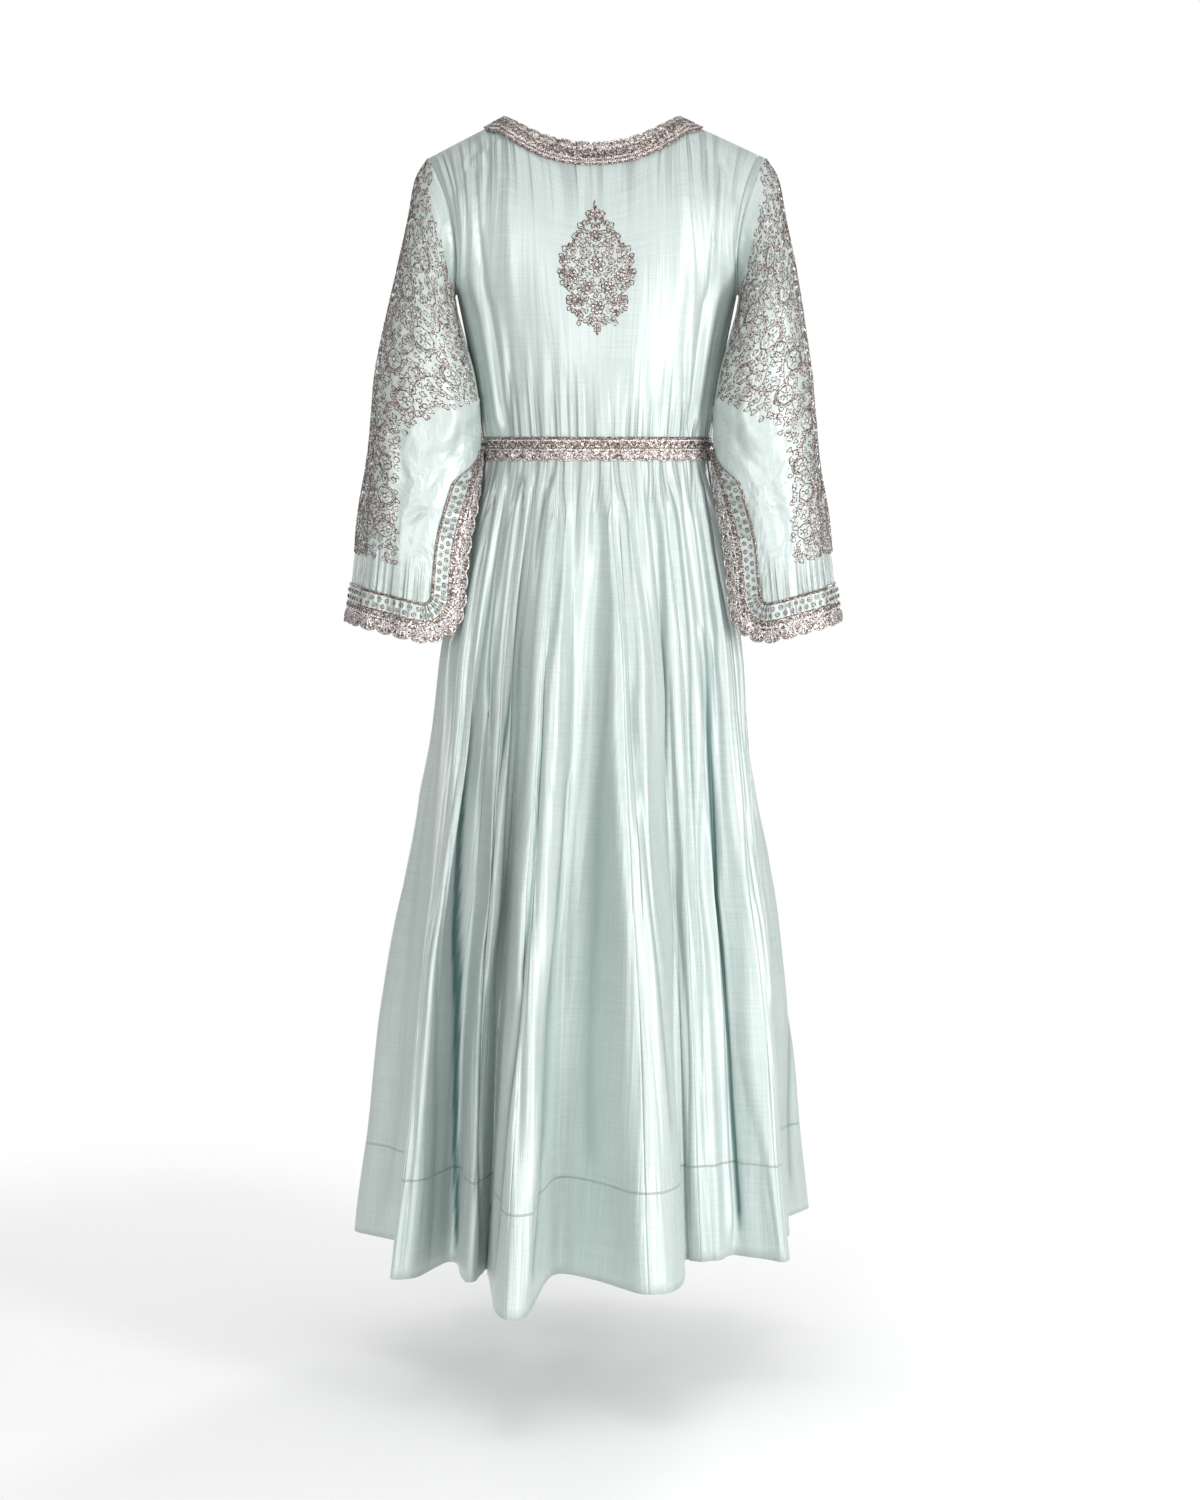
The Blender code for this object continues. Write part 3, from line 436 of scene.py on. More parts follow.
def metal_thread(name, dark, middle, bright, scale=850):
    """Twisted metal thread: close small facets from dark bronze to worn silver."""
    finish, shader = new_finish(name, {"Metallic": 0.45})
    place = step(finish, "TexCoord").outputs["Object"]
    facets = step(finish, "TexVoronoi", {"Vector": place, "Scale": scale})
    grey = step(finish, "SeparateColor", {"Color": facets.outputs["Color"]})
    tones = step(finish, "ValToRGB", {"Fac": grey.outputs[0]})
    ramp = tones.color_ramp
    ramp.elements[0].color, ramp.elements[1].color = (*dark, 1), (*bright, 1)
    ramp.elements[0].position, ramp.elements[1].position = 0.25, 0.92
    ramp.elements.new(0.60).color = (*middle, 1)
    rough = step(finish, "MapRange", {"Value": grey.outputs[1], "To Min": 0.22, "To Max": 0.5})
    relief = step(finish, "Bump", {"Height": facets.outputs["Distance"], "Strength": 0.6, "Distance": 0.0005})
    fed(shader, {"Base Color": tones.outputs[0], "Roughness": rough.outputs[0], "Normal": relief.outputs[0]})
    return finish


def cut_stone():
    """Pale blue glass, with a little cloud in it."""
    finish, shader = new_finish("pale blue stones", {"Roughness": 0.08, "Coat Weight": 0.8})
    place = step(finish, "TexCoord").outputs["Object"]
    cloud = step(finish, "TexNoise", {"Vector": place, "Scale": 300})
    tones = step(finish, "ValToRGB", {"Fac": cloud.outputs["Fac"]})
    tones.color_ramp.elements[0].color = (0.32, 0.50, 0.64, 1)
    tones.color_ramp.elements[1].color = (0.66, 0.80, 0.88, 1)
    fed(shader, {"Base Color": tones.outputs[0]})
    return finish


bronze = metal_thread("bronze thread", (0.075, 0.048, 0.037), (0.19, 0.135, 0.113), (0.60, 0.53, 0.51))
pale = metal_thread("pale silver thread", (0.24, 0.19, 0.17), (0.52, 0.46, 0.44), (0.90, 0.87, 0.88), 700)
silver = metal_thread("silver sequins", (0.38, 0.31, 0.29), (0.74, 0.68, 0.67), (1.0, 0.98, 0.98), 500)
stone = cut_stone()


def bead():
    """A round bead one unit in radius, sunk a little into the cloth."""
    body = bmesh.new()
    bmesh.ops.create_icosphere(body, subdivisions=1, radius=1, matrix=Matrix.Translation((0, 0, 0.55)))
    return shape_of("bead", body)


def stud(segments, top, height):
    """A sequin or a stone one unit in radius: a low cone, cut off and open underneath."""
    body = bmesh.new()
    lifted = Matrix.Translation((0, 0, height / 2))
    bmesh.ops.create_cone(body, cap_ends=True, segments=segments, radius1=1, radius2=top,
                          depth=height, matrix=lifted)
    under = [face for face in body.faces if face.calc_center_median().z < 0.01]
    bmesh.ops.delete(body, geom=under, context="FACES_ONLY")
    return shape_of("stud", body)


STUDS = {"bead": bead(), "sequin": stud(6, 0.35, 0.30), "stone": stud(8, 0.62, 0.62)}
THREAD_BREADTH, THREAD_HEIGHT = 0.0013, 0.0007


def empty_work():
    """Flat work with nothing on it yet. A thread is a path of (x, y, share of the full breadth),
    and a stud is (x, y, turn, radius)."""
    return {"thread": [], "light": [], "bead": [], "sequin": [], "stone": []}


def away(x, y, turn, far):
    """The place that lies far from another, in the direction turn."""
    return x + far * math.cos(turn), y + far * math.sin(turn)


def curl(work, x, y, heading, size, hand=1, turns=1.0, breadth=1.0, bends=7):
    """A scroll of thread that winds inwards."""
    share = np.linspace(0, 1, bends)
    turn = heading + hand * 2 * np.pi * turns * share
    reach = size * (1 - 0.75 * share) * 2 * np.pi * turns / (bends - 1)
    xs = x + np.concatenate([[0], np.cumsum((reach * np.cos(turn))[:-1])])
    ys = y + np.concatenate([[0], np.cumsum((reach * np.sin(turn))[:-1])])
    work["thread"].append(np.stack([xs, ys, breadth * (1.2 - 0.4 * share)], 1))


def leaf(work, x, y, heading, length, breadth=1.7, kind="light"):
    """A pointed leaf of laid thread."""
    along = np.array([0, 0.55, 1.0])
    shape = np.array([0.45, 1.0, 0.15]) * breadth
    work[kind].append(np.stack([*away(x, y, heading, length * along), shape], 1))


def ring(work, x, y, radius, count=12, breadth=1.0, lobes=0, swell=0.0, part=1.0, start=0.0):
    """A round of thread, lobed or plain, whole or in part."""
    turn = start + np.linspace(0, 2 * np.pi * part, count + 1)
    reach = radius * (1 + swell * np.abs(np.sin(lobes * turn / 2)))
    work["thread"].append(np.stack([x + reach * np.cos(turn), y + reach * np.sin(turn),
                                    np.full(count + 1, breadth)], 1))


def rosette(work, x, y, radius, petals=8, lean=0.0):
    """A round flower: a stone in a ring, petals about it, sequins between, and an outer round."""
    work["stone"].append((x, y, lean, 0.15 * radius))
    ring(work, x, y, 0.27 * radius, 9, 1.1)
    ring(work, x, y, 0.93 * radius, 3 * petals, 1.3, petals, 0.10)
    for k in range(petals):
        turn = lean + 2 * np.pi * k / petals
        leaf(work, *away(x, y, turn, 0.36 * radius), turn, 0.42 * radius, 1.7, ("thread", "light")[k % 2])
        turn += np.pi / petals
        work["sequin"].append((*away(x, y, turn, 0.66 * radius), turn, 0.11 * radius))


def blossom(work, x, y, size, lean=0.0, petals=3):
    """Small petals, each a sequin held in a hook of thread."""
    for k in range(petals):
        turn = lean + 2 * np.pi * k / petals
        px, py = away(x, y, turn, 0.55 * size)
        hook = turn + np.linspace(-2.2, 2.2, 6)
        work["sequin"].append((px, py, turn, 0.25 * size))
        work["thread"].append(np.stack([px + 0.42 * size * np.cos(hook), py + 0.42 * size * np.sin(hook),
                                        np.full(6, 0.95)], 1))


def sprig(work, x, y, heading, size, hand=1):
    """A curl with a leaf at its root."""
    curl(work, x, y, heading, size, hand)
    leaf(work, x, y, heading + hand * 2.4, 1.5 * size)


def strewn(rng, inside, box, apart, taken=(), tries=6000):
    """Places in a region that keep a distance from one another and out of the rounds in taken."""
    cells, found = {}, []
    for x, y in rng.uniform(box[0], box[1], (tries, 2)):
        key = (int(x // apart), int(y // apart))
        near = (cells.get((key[0] + i, key[1] + j), ()) for i in (-1, 0, 1) for j in (-1, 0, 1))
        if any(math.hypot(x - a, y - b) < apart for cell in near for a, b in cell):
            continue
        if not inside(x, y) or any(math.hypot(x - a, y - b) < r for a, b, r in taken):
            continue
        cells.setdefault(key, []).append((x, y))
        found.append((x, y))
    return found


def couched(paths):
    """Thread couched along flat paths, as low ridges."""
    profile = bpy.data.curves.new("ridge", "CURVE")
    line = profile.splines.new("POLY")
    line.points.add(2)
    line.points.foreach_set("co", (-THREAD_BREADTH / 2, 0, 0, 1, 0, THREAD_HEIGHT, 0, 1,
                                   THREAD_BREADTH / 2, 0, 0, 1))
    ridge = placed("ridge", profile)
    cord = bpy.data.curves.new("thread", "CURVE")
    cord.dimensions, cord.twist_mode = "3D", "Z_UP"
    cord.bevel_mode, cord.bevel_object = "OBJECT", ridge
    for path in paths:
        path = np.asarray(path, float)
        line = cord.splines.new("POLY")
        line.points.add(len(path) - 1)
        line.points.foreach_set("co", np.c_[path[:, :2], 0 * path[:, 0], 1 + 0 * path[:, 0]].ravel())
        line.points.foreach_set("radius", path[:, 2].astype(np.float32))
    holder = placed("thread", cord)
    seen = holder.evaluated_get(bpy.context.evaluated_depsgraph_get())
    mesh = bpy.data.meshes.new_from_object(seen)
    for thing in (ridge, holder):
        bpy.data.objects.remove(thing)
    return mesh


def repeated(shape, places):
    """Copies of a small shape at flat places, as one mesh."""
    corners = np.array([corner.co for corner in shape.vertices])
    x, y, turn, size = (row[:, None] for row in np.array(places, float).T)
    out = np.empty((len(places), len(corners), 3))
    out[..., 0] = x + size * (np.cos(turn) * corners[:, 0] - np.sin(turn) * corners[:, 1])
    out[..., 1] = y + size * (np.sin(turn) * corners[:, 0] + np.cos(turn) * corners[:, 1])
    out[..., 2] = size * corners[:, 2]
    faces = [tuple(face.vertices) for face in shape.polygons]
    mesh = bpy.data.meshes.new("studs")
    mesh.from_pydata(out.reshape(-1, 3), [], [
        tuple(i + k * len(corners) for i in face) for k in range(len(places)) for face in faces])
    return mesh


def sewn(name, work, lay, lift=0.0):
    """The flat work laid on its cloth, as one piece. lay gives the cloth's points and normals at
    flat places, and lift is how far the work stands off the cloth."""
    finishes = {"thread": bronze, "light": pale, "bead": bronze, "sequin": silver, "stone": stone}
    parts = [(repeated(STUDS[kind], work[kind]) if kind in STUDS else couched(work[kind]), finish)
             for kind, finish in finishes.items() if work[kind]]
    body = bmesh.new()
    joined = bpy.data.meshes.new(name)
    for index, (mesh, finish) in enumerate(parts):
        flat = np.empty(len(mesh.vertices) * 3)
        mesh.vertices.foreach_get("co", flat)
        flat = flat.reshape(-1, 3)
        points, normals = lay(flat[:, 0], flat[:, 1])
        mesh.vertices.foreach_set("co", (points + normals * (flat[:, 2:] + lift)).ravel())
        if looks_inwards(mesh, normals):
            mesh.flip_normals()
        mesh.polygons.foreach_set("material_index", np.full(len(mesh.polygons), index))
        body.from_mesh(mesh)
        joined.materials.append(finish)
    body.to_mesh(joined)
    body.free()
    joined.shade_smooth()
    piece = placed(name, joined)
    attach(piece, "root")


def laid_on(points, normals, over, down):
    """The point and the normal of a grid of cloth, at fractional columns and rows."""
    over = np.clip(over, 0, points.shape[1] - 1.001)
    down = np.clip(down, 0, points.shape[0] - 1.001)
    c, r = over.astype(int), down.astype(int)
    x, y = (over - c)[:, None], (down - r)[:, None]

    def mixed(grid):
        upper = grid[r, c] * (1 - x) + grid[r, c + 1] * x
        return upper * (1 - y) + (grid[r + 1, c] * (1 - x) + grid[r + 1, c + 1] * x) * y

    normal = mixed(normals)
    return mixed(points), normal / np.linalg.norm(normal, axis=-1, keepdims=True)


DROP = (  # height above the foot of the motif, and half its width there
    (0.000, 0.0010), (0.008, 0.0060), (0.013, 0.0150), (0.018, 0.0245), (0.028, 0.0325),
    (0.037, 0.0355), (0.047, 0.0345), (0.056, 0.0390), (0.068, 0.0435), (0.080, 0.0440),
    (0.092, 0.0395), (0.100, 0.0325), (0.110, 0.0275), (0.117, 0.0190), (0.125, 0.0185),
    (0.129, 0.0105), (0.134, 0.0135), (0.141, 0.0090), (0.149, 0.0040), (0.158, 0.0),
)
MOTIF_FOOT, CHEST_ROW = -0.2580, 66
OVER_CLOTH = 0.0001  # how far the loose work stands off the silk


def on_back(x, y):
    """The flat motif's places on the back panel."""
    points, normals = bodices[1]
    middle = points.shape[1] // 2
    down = np.interp(y + MOTIF_FOOT, points[:, middle, 2], np.arange(len(points)))
    over = np.interp(x, points[CHEST_ROW, :, 0], np.arange(points.shape[1]))
    return laid_on(points, normals, over, down)


drop_rng = np.random.default_rng(4)
motif = empty_work()
flowers = [(0.0, 0.033, 0.0085), (0.0, 0.083, 0.0105), (0.0, 0.116, 0.0070)]
for x, y, radius in ((0.0120, 0.056, 0.0080), (0.0290, 0.070, 0.0070), (0.0200, 0.040, 0.0055)):
    flowers += [(hand * x, y, radius) for hand in (-1, 1)]
for x, y, radius in flowers:
    motif["stone"].append((x, y, 0.3, 0.17 * radius))
    ring(motif, x, y, 0.30 * radius, 8, 1.2)
    for k in range(7):
        turn = 0.4 + 2 * math.pi * k / 7
        px, py = away(x, y, turn, 0.68 * radius)
        ring(motif, px, py, 0.27 * radius, 6, 1.3, start=turn)
        motif["sequin"].append((px, py, turn, 0.15 * radius))
for y, breadth in ((0.0015, 3.2), (0.008, 2.8), (0.131, 2.6), (0.138, 3.0), (0.145, 3.4), (0.1495, 2.8)):
    leaf(motif, 0.0, y, math.pi / 2, 0.008, breadth, "thread")
for hand in (-1, 1):
    for y, heading, size in ((0.004, 0.5, 0.0042), (0.139, -0.9, 0.0040), (0.146, -1.2, 0.0030)):
        curl(motif, 0.0, y, math.pi / 2 - hand * (math.pi / 2 - heading), size, hand, 0.9, 1.2)
outline_ys, outline_xs = np.transpose(DROP)
for k, y in enumerate(np.arange(0.0125, 0.138, 0.0048)):
    x = float(np.interp(y, outline_ys, outline_xs))  # a curl and a leaf at each step up the outline
    for hand in (-1, 1):
        rise = math.pi / 2 * (1 - hand * (0.45, 0.85)[k % 2])
        curl(motif, hand * (x - 0.0042), y, rise, 0.0030 + 0.0006 * (k % 3), (hand, -hand)[k % 3 == 1],
             1.2, 1.15)
        leaf(motif, hand * (x - 0.0070), y + 0.002, rise + hand * 0.5, 0.0052, 2.0, "thread")
halves = strewn(drop_rng, lambda x, y: abs(x) < np.interp(y, outline_ys, outline_xs) - 0.0062,
                ((0.0020, 0.006), (0.046, 0.148)), 0.0043, [(x, y, r + 0.0012) for x, y, r in flowers])
for k, (x, y) in enumerate(halves):
    turn = drop_rng.uniform(0, 2 * math.pi)
    for hand in (-1, 1):
        heading = turn if hand > 0 else math.pi - turn
        if k % 3 == 0:
            sprig(motif, hand * x, y, heading, 0.0028, hand)
        else:
            blossom(motif, hand * x, y, 0.0029, heading)
sewn("back_motif", motif, on_back, OVER_CLOTH)

# ---- Neckband ----
# A stiff scalloped band 27 mm wide, covered with metal thread and laid over the gathered
# neckline, in two halves that meet at the shoulder seams.

ground = metal_thread("worked ground", (0.075, 0.048, 0.038), (0.26, 0.20, 0.175), (0.72, 0.68, 0.67), 620)
BAND_WALL, SCALLOP_STEPS, BAND_ROWS = 0.0012, 10, 8


def scallop(place, depth):
    """How far a scalloped edge reaches out. place counts scallops along the edge."""
    return depth * np.sqrt(np.abs(np.sin(np.pi * place)))


def evenly(length, apart):
    """The middles of equal stretches, about apart long, of a length."""
    number = max(2, round(length / apart))
    return [(k + 0.5) * length / number for k in range(number)]


def border_work(length, count, depth, parts):
    """Flat work for a scalloped border: x along it, y in from the foot of its scallops. parts
    lists what lies across it, as (kind, from, to)."""
    work = empty_work()
    pitch = length / count
    xs = np.linspace(0, length, count * 8 + 1)
    edge = -scallop(xs / pitch, depth) + 0.0007
    work["light"].append(np.stack([xs, edge, np.full(len(xs), 1.8)], 1))
    for kind, low, high in parts:
        middle, tall = (low + high) / 2, high - low
        if kind == "cord":
            work["thread"].append(np.stack([xs, 0 * xs + middle, np.full(len(xs), tall / THREAD_BREADTH)], 1))
        elif kind == "fans":
            for k in range(count):
                x = (k + 0.5) * pitch
                foot, top = high - 0.0004, low - depth * 0.8
                size = foot - top
                for turn in np.linspace(-1.15, 1.15, 7):
                    reach = size * (0.84 - 0.10 * abs(turn))
                    leaf(work, x + 0.16 * size * math.sin(turn), foot - 0.16 * size * math.cos(turn),
                         turn - math.pi / 2, min(reach, pitch * 0.62), 1.9)
                work["stone"].append((x, foot - 0.06 * size, 0, 0.0012))
                for turn in (-1.0, -0.5, 0, 0.5, 1.0):
                    work["sequin"].append((x + 0.55 * size * math.sin(turn),
                                           foot - 0.55 * size * math.cos(turn), turn, 0.0010))
                for dx in (-0.5, 0.5):
                    work["sequin"].append((x + dx * pitch * 0.92, middle + 0.2 * tall, 0, 0.0011))
        elif kind == "scrolls":
            for k, x in enumerate(evenly(length, tall * 1.05)):
                hand = 1 if k % 2 else -1
                curl(work, x - 0.30 * tall, middle - hand * 0.28 * tall, 0, 0.30 * tall, hand, 1.2)
                leaf(work, x + 0.30 * tall, middle + hand * 0.30 * tall, 2.4 * hand, 0.40 * tall, 1.5)
        elif kind == "sequins":
            for k, x in enumerate(evenly(length, tall * 1.15)):
                work["sequin"].append((x, middle, 0.5 * k, tall * 0.5))
        elif kind == "rings":
            for k, x in enumerate(evenly(length, tall * 0.30)):
                shift = (0.24 if k % 2 else -0.24) * tall
                ring(work, x, middle + shift, 0.148 * tall, 10, 1.0)
                work["bead"].append((x, middle + shift, 0, 0.06 * tall))
    return work


def band(name, points, normals, width, count, depth, parts, lift):
    """A scalloped band of worked ground on the cloth at points, with its thread and studs. The
    grid's first row is the scalloped edge."""
    length = float(np.linalg.norm(np.diff(points[BAND_ROWS // 2], axis=0), axis=1).sum())
    face = points + normals * (lift + BAND_WALL)
    rows, columns = points.shape[:2]
    along = np.linspace(0, length, columns)
    cut = np.stack(np.broadcast_arrays(along[None], np.linspace(0, width, rows)[:, None]), -1)
    piece = cloth(name, face, normals, cut, ground, BAND_WALL)
    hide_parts(name)

    def on_band(x, y):
        edge = -scallop(x / length * count, depth)
        down = (y - edge) / (width - edge) * (rows - 1)
        return laid_on(face, normals, x / length * (columns - 1), down)

    sewn(name + "_work", border_work(length, count, depth, parts), on_band)


NECKBAND_WIDTH, NECK_SCALLOPS, NECK_DEPTH = 0.027, 16, 0.0026
SHOULDER_SPREAD = 4.6  # how far the panel's across and height change for each metre down the band
NAPE_SPREAD, NAPE_SWELL = {1: 7.25, -1: 10.5}, {1: 1.4, -1: 1.0}
for side, word in ((1, "back"), (-1, "front")):
    points, normals = bodices[side]
    turn, share = np.meshgrid(np.linspace(-1, 1, NECK_SCALLOPS * SCALLOP_STEPS + 1) * math.pi / 2,
                              np.linspace(0, 1, BAND_ROWS))
    top = -scallop(np.linspace(0, NECK_SCALLOPS, turn.shape[1]), NECK_DEPTH)[None]
    depth_down = top + (NECKBAND_WIDTH - top) * share

    def below_neckline(depth_down):
        reach = np.abs(depth_down)
        sideways = np.sin(turn) ** 2
        across = turn / math.pi + np.sign(turn) * SHOULDER_SPREAD * reach * sideways
        drop = NAPE_SPREAD[side] * np.sqrt(np.maximum(0, np.cos(turn))) * (1 + NAPE_SWELL[side] * sideways)
        height = 2 - drop * reach
        over = (across.ravel() + 1) / 2 * (points.shape[1] - 1)
        found, _ = laid_on(points, normals, over, height.ravel() / 2 * (len(points) - 1))
        return found.reshape(*turn.shape, 3)

    below, edge = below_neckline(depth_down), below_neckline(0 * depth_down)
    place = np.where((depth_down < 0)[..., None], 2 * edge - below, below)
    smooth = facing(place, place * (1, 1, 0) + (0, 0, 0.06))
    band(f"neckband_{word}", place, smooth, NECKBAND_WIDTH, NECK_SCALLOPS, NECK_DEPTH,
         [("fans", 0.0, 0.0092), ("cord", 0.0098, 0.0112), ("scrolls", 0.0118, 0.0186),
          ("sequins", 0.0190, 0.0212), ("cord", 0.0216, 0.0228), ("sequins", 0.0230, 0.0250),
          ("cord", 0.0252, 0.0270)], 0.0016)

# ---- Sleeves ----
# Long bell sleeves of the same silk, closed along the inner arm down to the slit, with the slit's
# back edge turned outwards. They are set into the armholes with a narrow seam.

SLEEVE = (  # down, outermost x and z, innermost x and z, middle y, half depth, scoop
    (0.000, 0.2003, -0.0455, 0.1683, -0.2053, 0.000, 0.0600, 0.0150),
    (0.040, 0.2140, -0.0680, 0.1690, -0.2130, 0.002, 0.0635, 0.0080),
    (0.106, 0.2230, -0.1150, 0.1645, -0.2300, 0.012, 0.0665, 0.0020),
    (0.193, 0.2335, -0.1680, 0.1560, -0.2580, 0.030, 0.0665, 0.0),
    (0.304, 0.2475, -0.2300, 0.1440, -0.3020, 0.041, 0.0650, 0.0),
    (0.420, 0.2610, -0.2950, 0.1375, -0.3500, 0.044, 0.0630, 0.0),
    (0.513, 0.2670, -0.3520, 0.1380, -0.3950, 0.044, 0.0615, 0.0),
    (0.646, 0.2745, -0.4200, 0.1475, -0.4550, 0.043, 0.0595, 0.0),
    (0.770, 0.2820, -0.4820, 0.1560, -0.5130, 0.042, 0.0580, 0.0),
    (0.886, 0.2880, -0.5360, 0.1605, -0.5680, 0.041, 0.0575, 0.0),
    (1.000, 0.2965, -0.5880, 0.1640, -0.6210, 0.041, 0.0575, 0.0),
)
SLEEVE_LENGTH, SLIT_TOP, RIGHT_NARROWER = 0.483, 0.475, 0.0085
SLIT_DEG = (28.0, 66.0)  # how far the slit opens behind and before
TURNED_BACK, FLUTED = 0.010, 0.0022  # the slit's turned back edge, and the soft flutes of the bell
CUFF_ACROSS, CORNER_RADIUS = 0.325, 0.056
SLEEVE_COLUMNS, SLEEVE_ROWS = 113, 131
SLEEVE_CUT = (0.39, 0.53)  # metres of flat cloth round the arm and down it
sleeve_silk = raw_silk("mint raw silk, crumpled", 0.0075, (22, 15), ((-0.475, 0.07),))
SLEEVE_FOLDS = [
    (((0.10, 0.02), (0.13, 0.20), (0.20, 0.36)), 0.0030, 0.030, 0.050),
    (((0.24, 0.01), (0.20, 0.12), (0.14, 0.26)), 0.0028, 0.035, 0.030),
    (((0.31, 0.01), (0.27, 0.09), (0.22, 0.17)), 0.0022, 0.022, 0.028),
    (((0.03, 0.36), (0.14, 0.46), (0.26, 0.60)), 0.0034, 0.040, 0.055),
    (((0.05, 0.42), (0.20, 0.55), (0.24, 0.78)), -0.0028, 0.035, 0.040),
    (((0.36, 0.52), (0.33, 0.70), (0.31, 0.98)), 0.0030, 0.035, 0.045),
    (((0.46, 0.60), (0.45, 0.80), (0.44, 1.02)), -0.0024, 0.030, 0.040),
    (((0.26, 0.62), (0.27, 0.78), (0.25, 0.94)), 0.0022, 0.022, 0.030),
    (((0.56, 0.40), (0.60, 0.65), (0.58, 1.00)), 0.0030, 0.040, 0.050),
    (((0.72, 0.02), (0.76, 0.14), (0.84, 0.30)), 0.0030, 0.035, 0.040),
    (((0.95, 0.38), (0.84, 0.50), (0.74, 0.66)), 0.0034, 0.050, 0.040),
    (((0.78, 0.55), (0.72, 0.75), (0.70, 1.00)), -0.0026, 0.035, 0.035),
    (((0.14, 0.455), (0.13, 0.485), (0.15, 0.55)), -0.0026, 0.012, 0.014),
    (((0.17, 0.40), (0.16, 0.44), (0.17, 0.51)), 0.0024, 0.012, 0.014),
    (((0.22, 0.44), (0.21, 0.475), (0.19, 0.52)), -0.0022, 0.011, 0.013),
    (((0.29, 0.58), (0.24, 0.625), (0.25, 0.70)), 0.0028, 0.014, 0.018),
    (((0.20, 0.68), (0.25, 0.675), (0.29, 0.74)), -0.0028, 0.020, 0.014),
    (((0.12, 0.50), (0.18, 0.58), (0.24, 0.74)), -0.0022, 0.013, 0.016),
    (((0.40, 0.50), (0.34, 0.56), (0.30, 0.66)), 0.0020, 0.014, 0.016),
    (((0.86, 0.44), (0.80, 0.52), (0.79, 0.62)), -0.0024, 0.014, 0.012),
    (((0.90, 0.50), (0.83, 0.60), (0.77, 0.72)), 0.0024, 0.016, 0.014),
]


def sleeve(down, across, flip):
    """The outer face of a sleeve: 0 at the armhole and 1 at the wrist, and from the slit's back
    edge round the arm to its front edge. flip is -1 for the right sleeve."""
    down, across = np.broadcast_arrays(np.asarray(down, float), np.asarray(across, float))
    held, round_arm = np.clip(down, 0, 1), np.clip(across, 0, 1)
    outer_x, outer_z, inner_x, inner_z, middle_y, half_depth, scoop = between(SLEEVE, held)
    if flip < 0:
        outer_x = outer_x - RIGHT_NARROWER * eased((held - 0.15) / 0.3)
    opened = eased((held - SLIT_TOP) / 0.30)
    start = math.radians(SLIT_DEG[0]) * opened
    end = 2 * math.pi - math.radians(SLIT_DEG[1]) * opened
    turn = start + (end - start) * round_arm
    flat = np.zeros_like(held)
    outer, inner = np.stack([outer_x, flat, outer_z], -1), np.stack([inner_x, flat, inner_z], -1)
    middle = (outer + inner) / 2
    point = middle - (outer - inner) / 2 * np.cos(turn)[..., None]
    point[..., 1] = half_depth * np.sin(turn)
    point[..., 0] -= scoop * np.sin(turn) ** 2
    loose = eased((held - 0.40) / 0.4)
    spoke = point - middle
    spoke /= np.linalg.norm(spoke, axis=-1, keepdims=True)
    point += spoke * (FLUTED * loose * np.cos(10 * math.pi * round_arm))[..., None]
    flap = TURNED_BACK * eased((held - SLIT_TOP) / 0.3) * np.cos(turn) ** 2
    flap = np.where((np.cos(turn) > 0) & (turn < math.pi), flap, 0)
    point[..., 0] -= flap
    point[..., 1] += flap + middle_y
    if (down > 1).any():
        past = (down > 1)[..., None]
        point = np.where(past, 2 * point - sleeve(np.where(down > 1, 2 - down, down), across, flip), point)
    if (across != round_arm).any():
        back = round_arm + (round_arm - across)
        past = (across != round_arm)[..., None]
        point = np.where(past, 2 * point - sleeve(down, back, flip), point)
    return point


def corner_lift(across):
    """How far the wrist's rounded corner lies above the wrist line."""
    edge = np.minimum(np.minimum(across, 1 - across) * CUFF_ACROSS, CORNER_RADIUS)
    return CORNER_RADIUS - np.sqrt(CORNER_RADIUS**2 - (CORNER_RADIUS - edge) ** 2)


def from_arm(points, flip):
    """Away from the arm's own line."""
    down = np.clip((-0.125 - points[..., 2:]) / 0.48, 0, 1)
    middle = np.concatenate([flip * (0.184 + 0.051 * down), 0.041 * down, -0.125 - 0.48 * down], -1)
    return (points - middle) * (1, 1.3, 0.25)


def folded_sleeve(down, across, flip):
    """The sleeve with its folds, which lie a little further round the right one."""
    plain = sleeve(down, across, flip)
    out = facing(plain, from_arm(plain, 1))
    seam = eased(across / 0.04) * eased((1 - across) / 0.04) * eased(down / 0.04)
    ahead = 0.02 * (flip < 0)
    return plain + out * (folded(across - ahead, down, SLEEVE_FOLDS) * seam)[..., None]


even = np.linspace(0, 1, SLEEVE_COLUMNS)
# Columns lie closer at the wrist's rounded corners and at the outer arm
columns = even - 0.035 * np.sin(4 * np.pi * even) * np.abs(np.cos(np.pi * even))
sleeves = {}
for word, flip in (("left", 1), ("right", -1)):
    across, down = np.meshgrid(even, np.linspace(0, 1, SLEEVE_ROWS))
    across = across + (columns - even) * eased(down / 0.3)
    down = down - corner_lift(across) / SLEEVE_LENGTH * eased((down - SLIT_TOP) / (1 - SLIT_TOP))
    points = folded_sleeve(down, across, flip) * (flip, 1, 1)
    normals = facing(points, from_arm(points, flip))
    cut = np.stack([across - 0.5, -down], -1) * SLEEVE_CUT
    piece = cloth(f"sleeve_{word}", points, normals, cut, sleeve_silk)
    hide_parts(f"sleeve_{word}")
    size, area = measured(points)
    sleeves[word] = (points, normals)

# ---- Sleeve embroidery ----
# A tall panel of vines down the outside of each arm: rosettes of thread and stones joined by
# stems, with scrolls, leaves and sequin blossoms between them, widest at the upper arm.

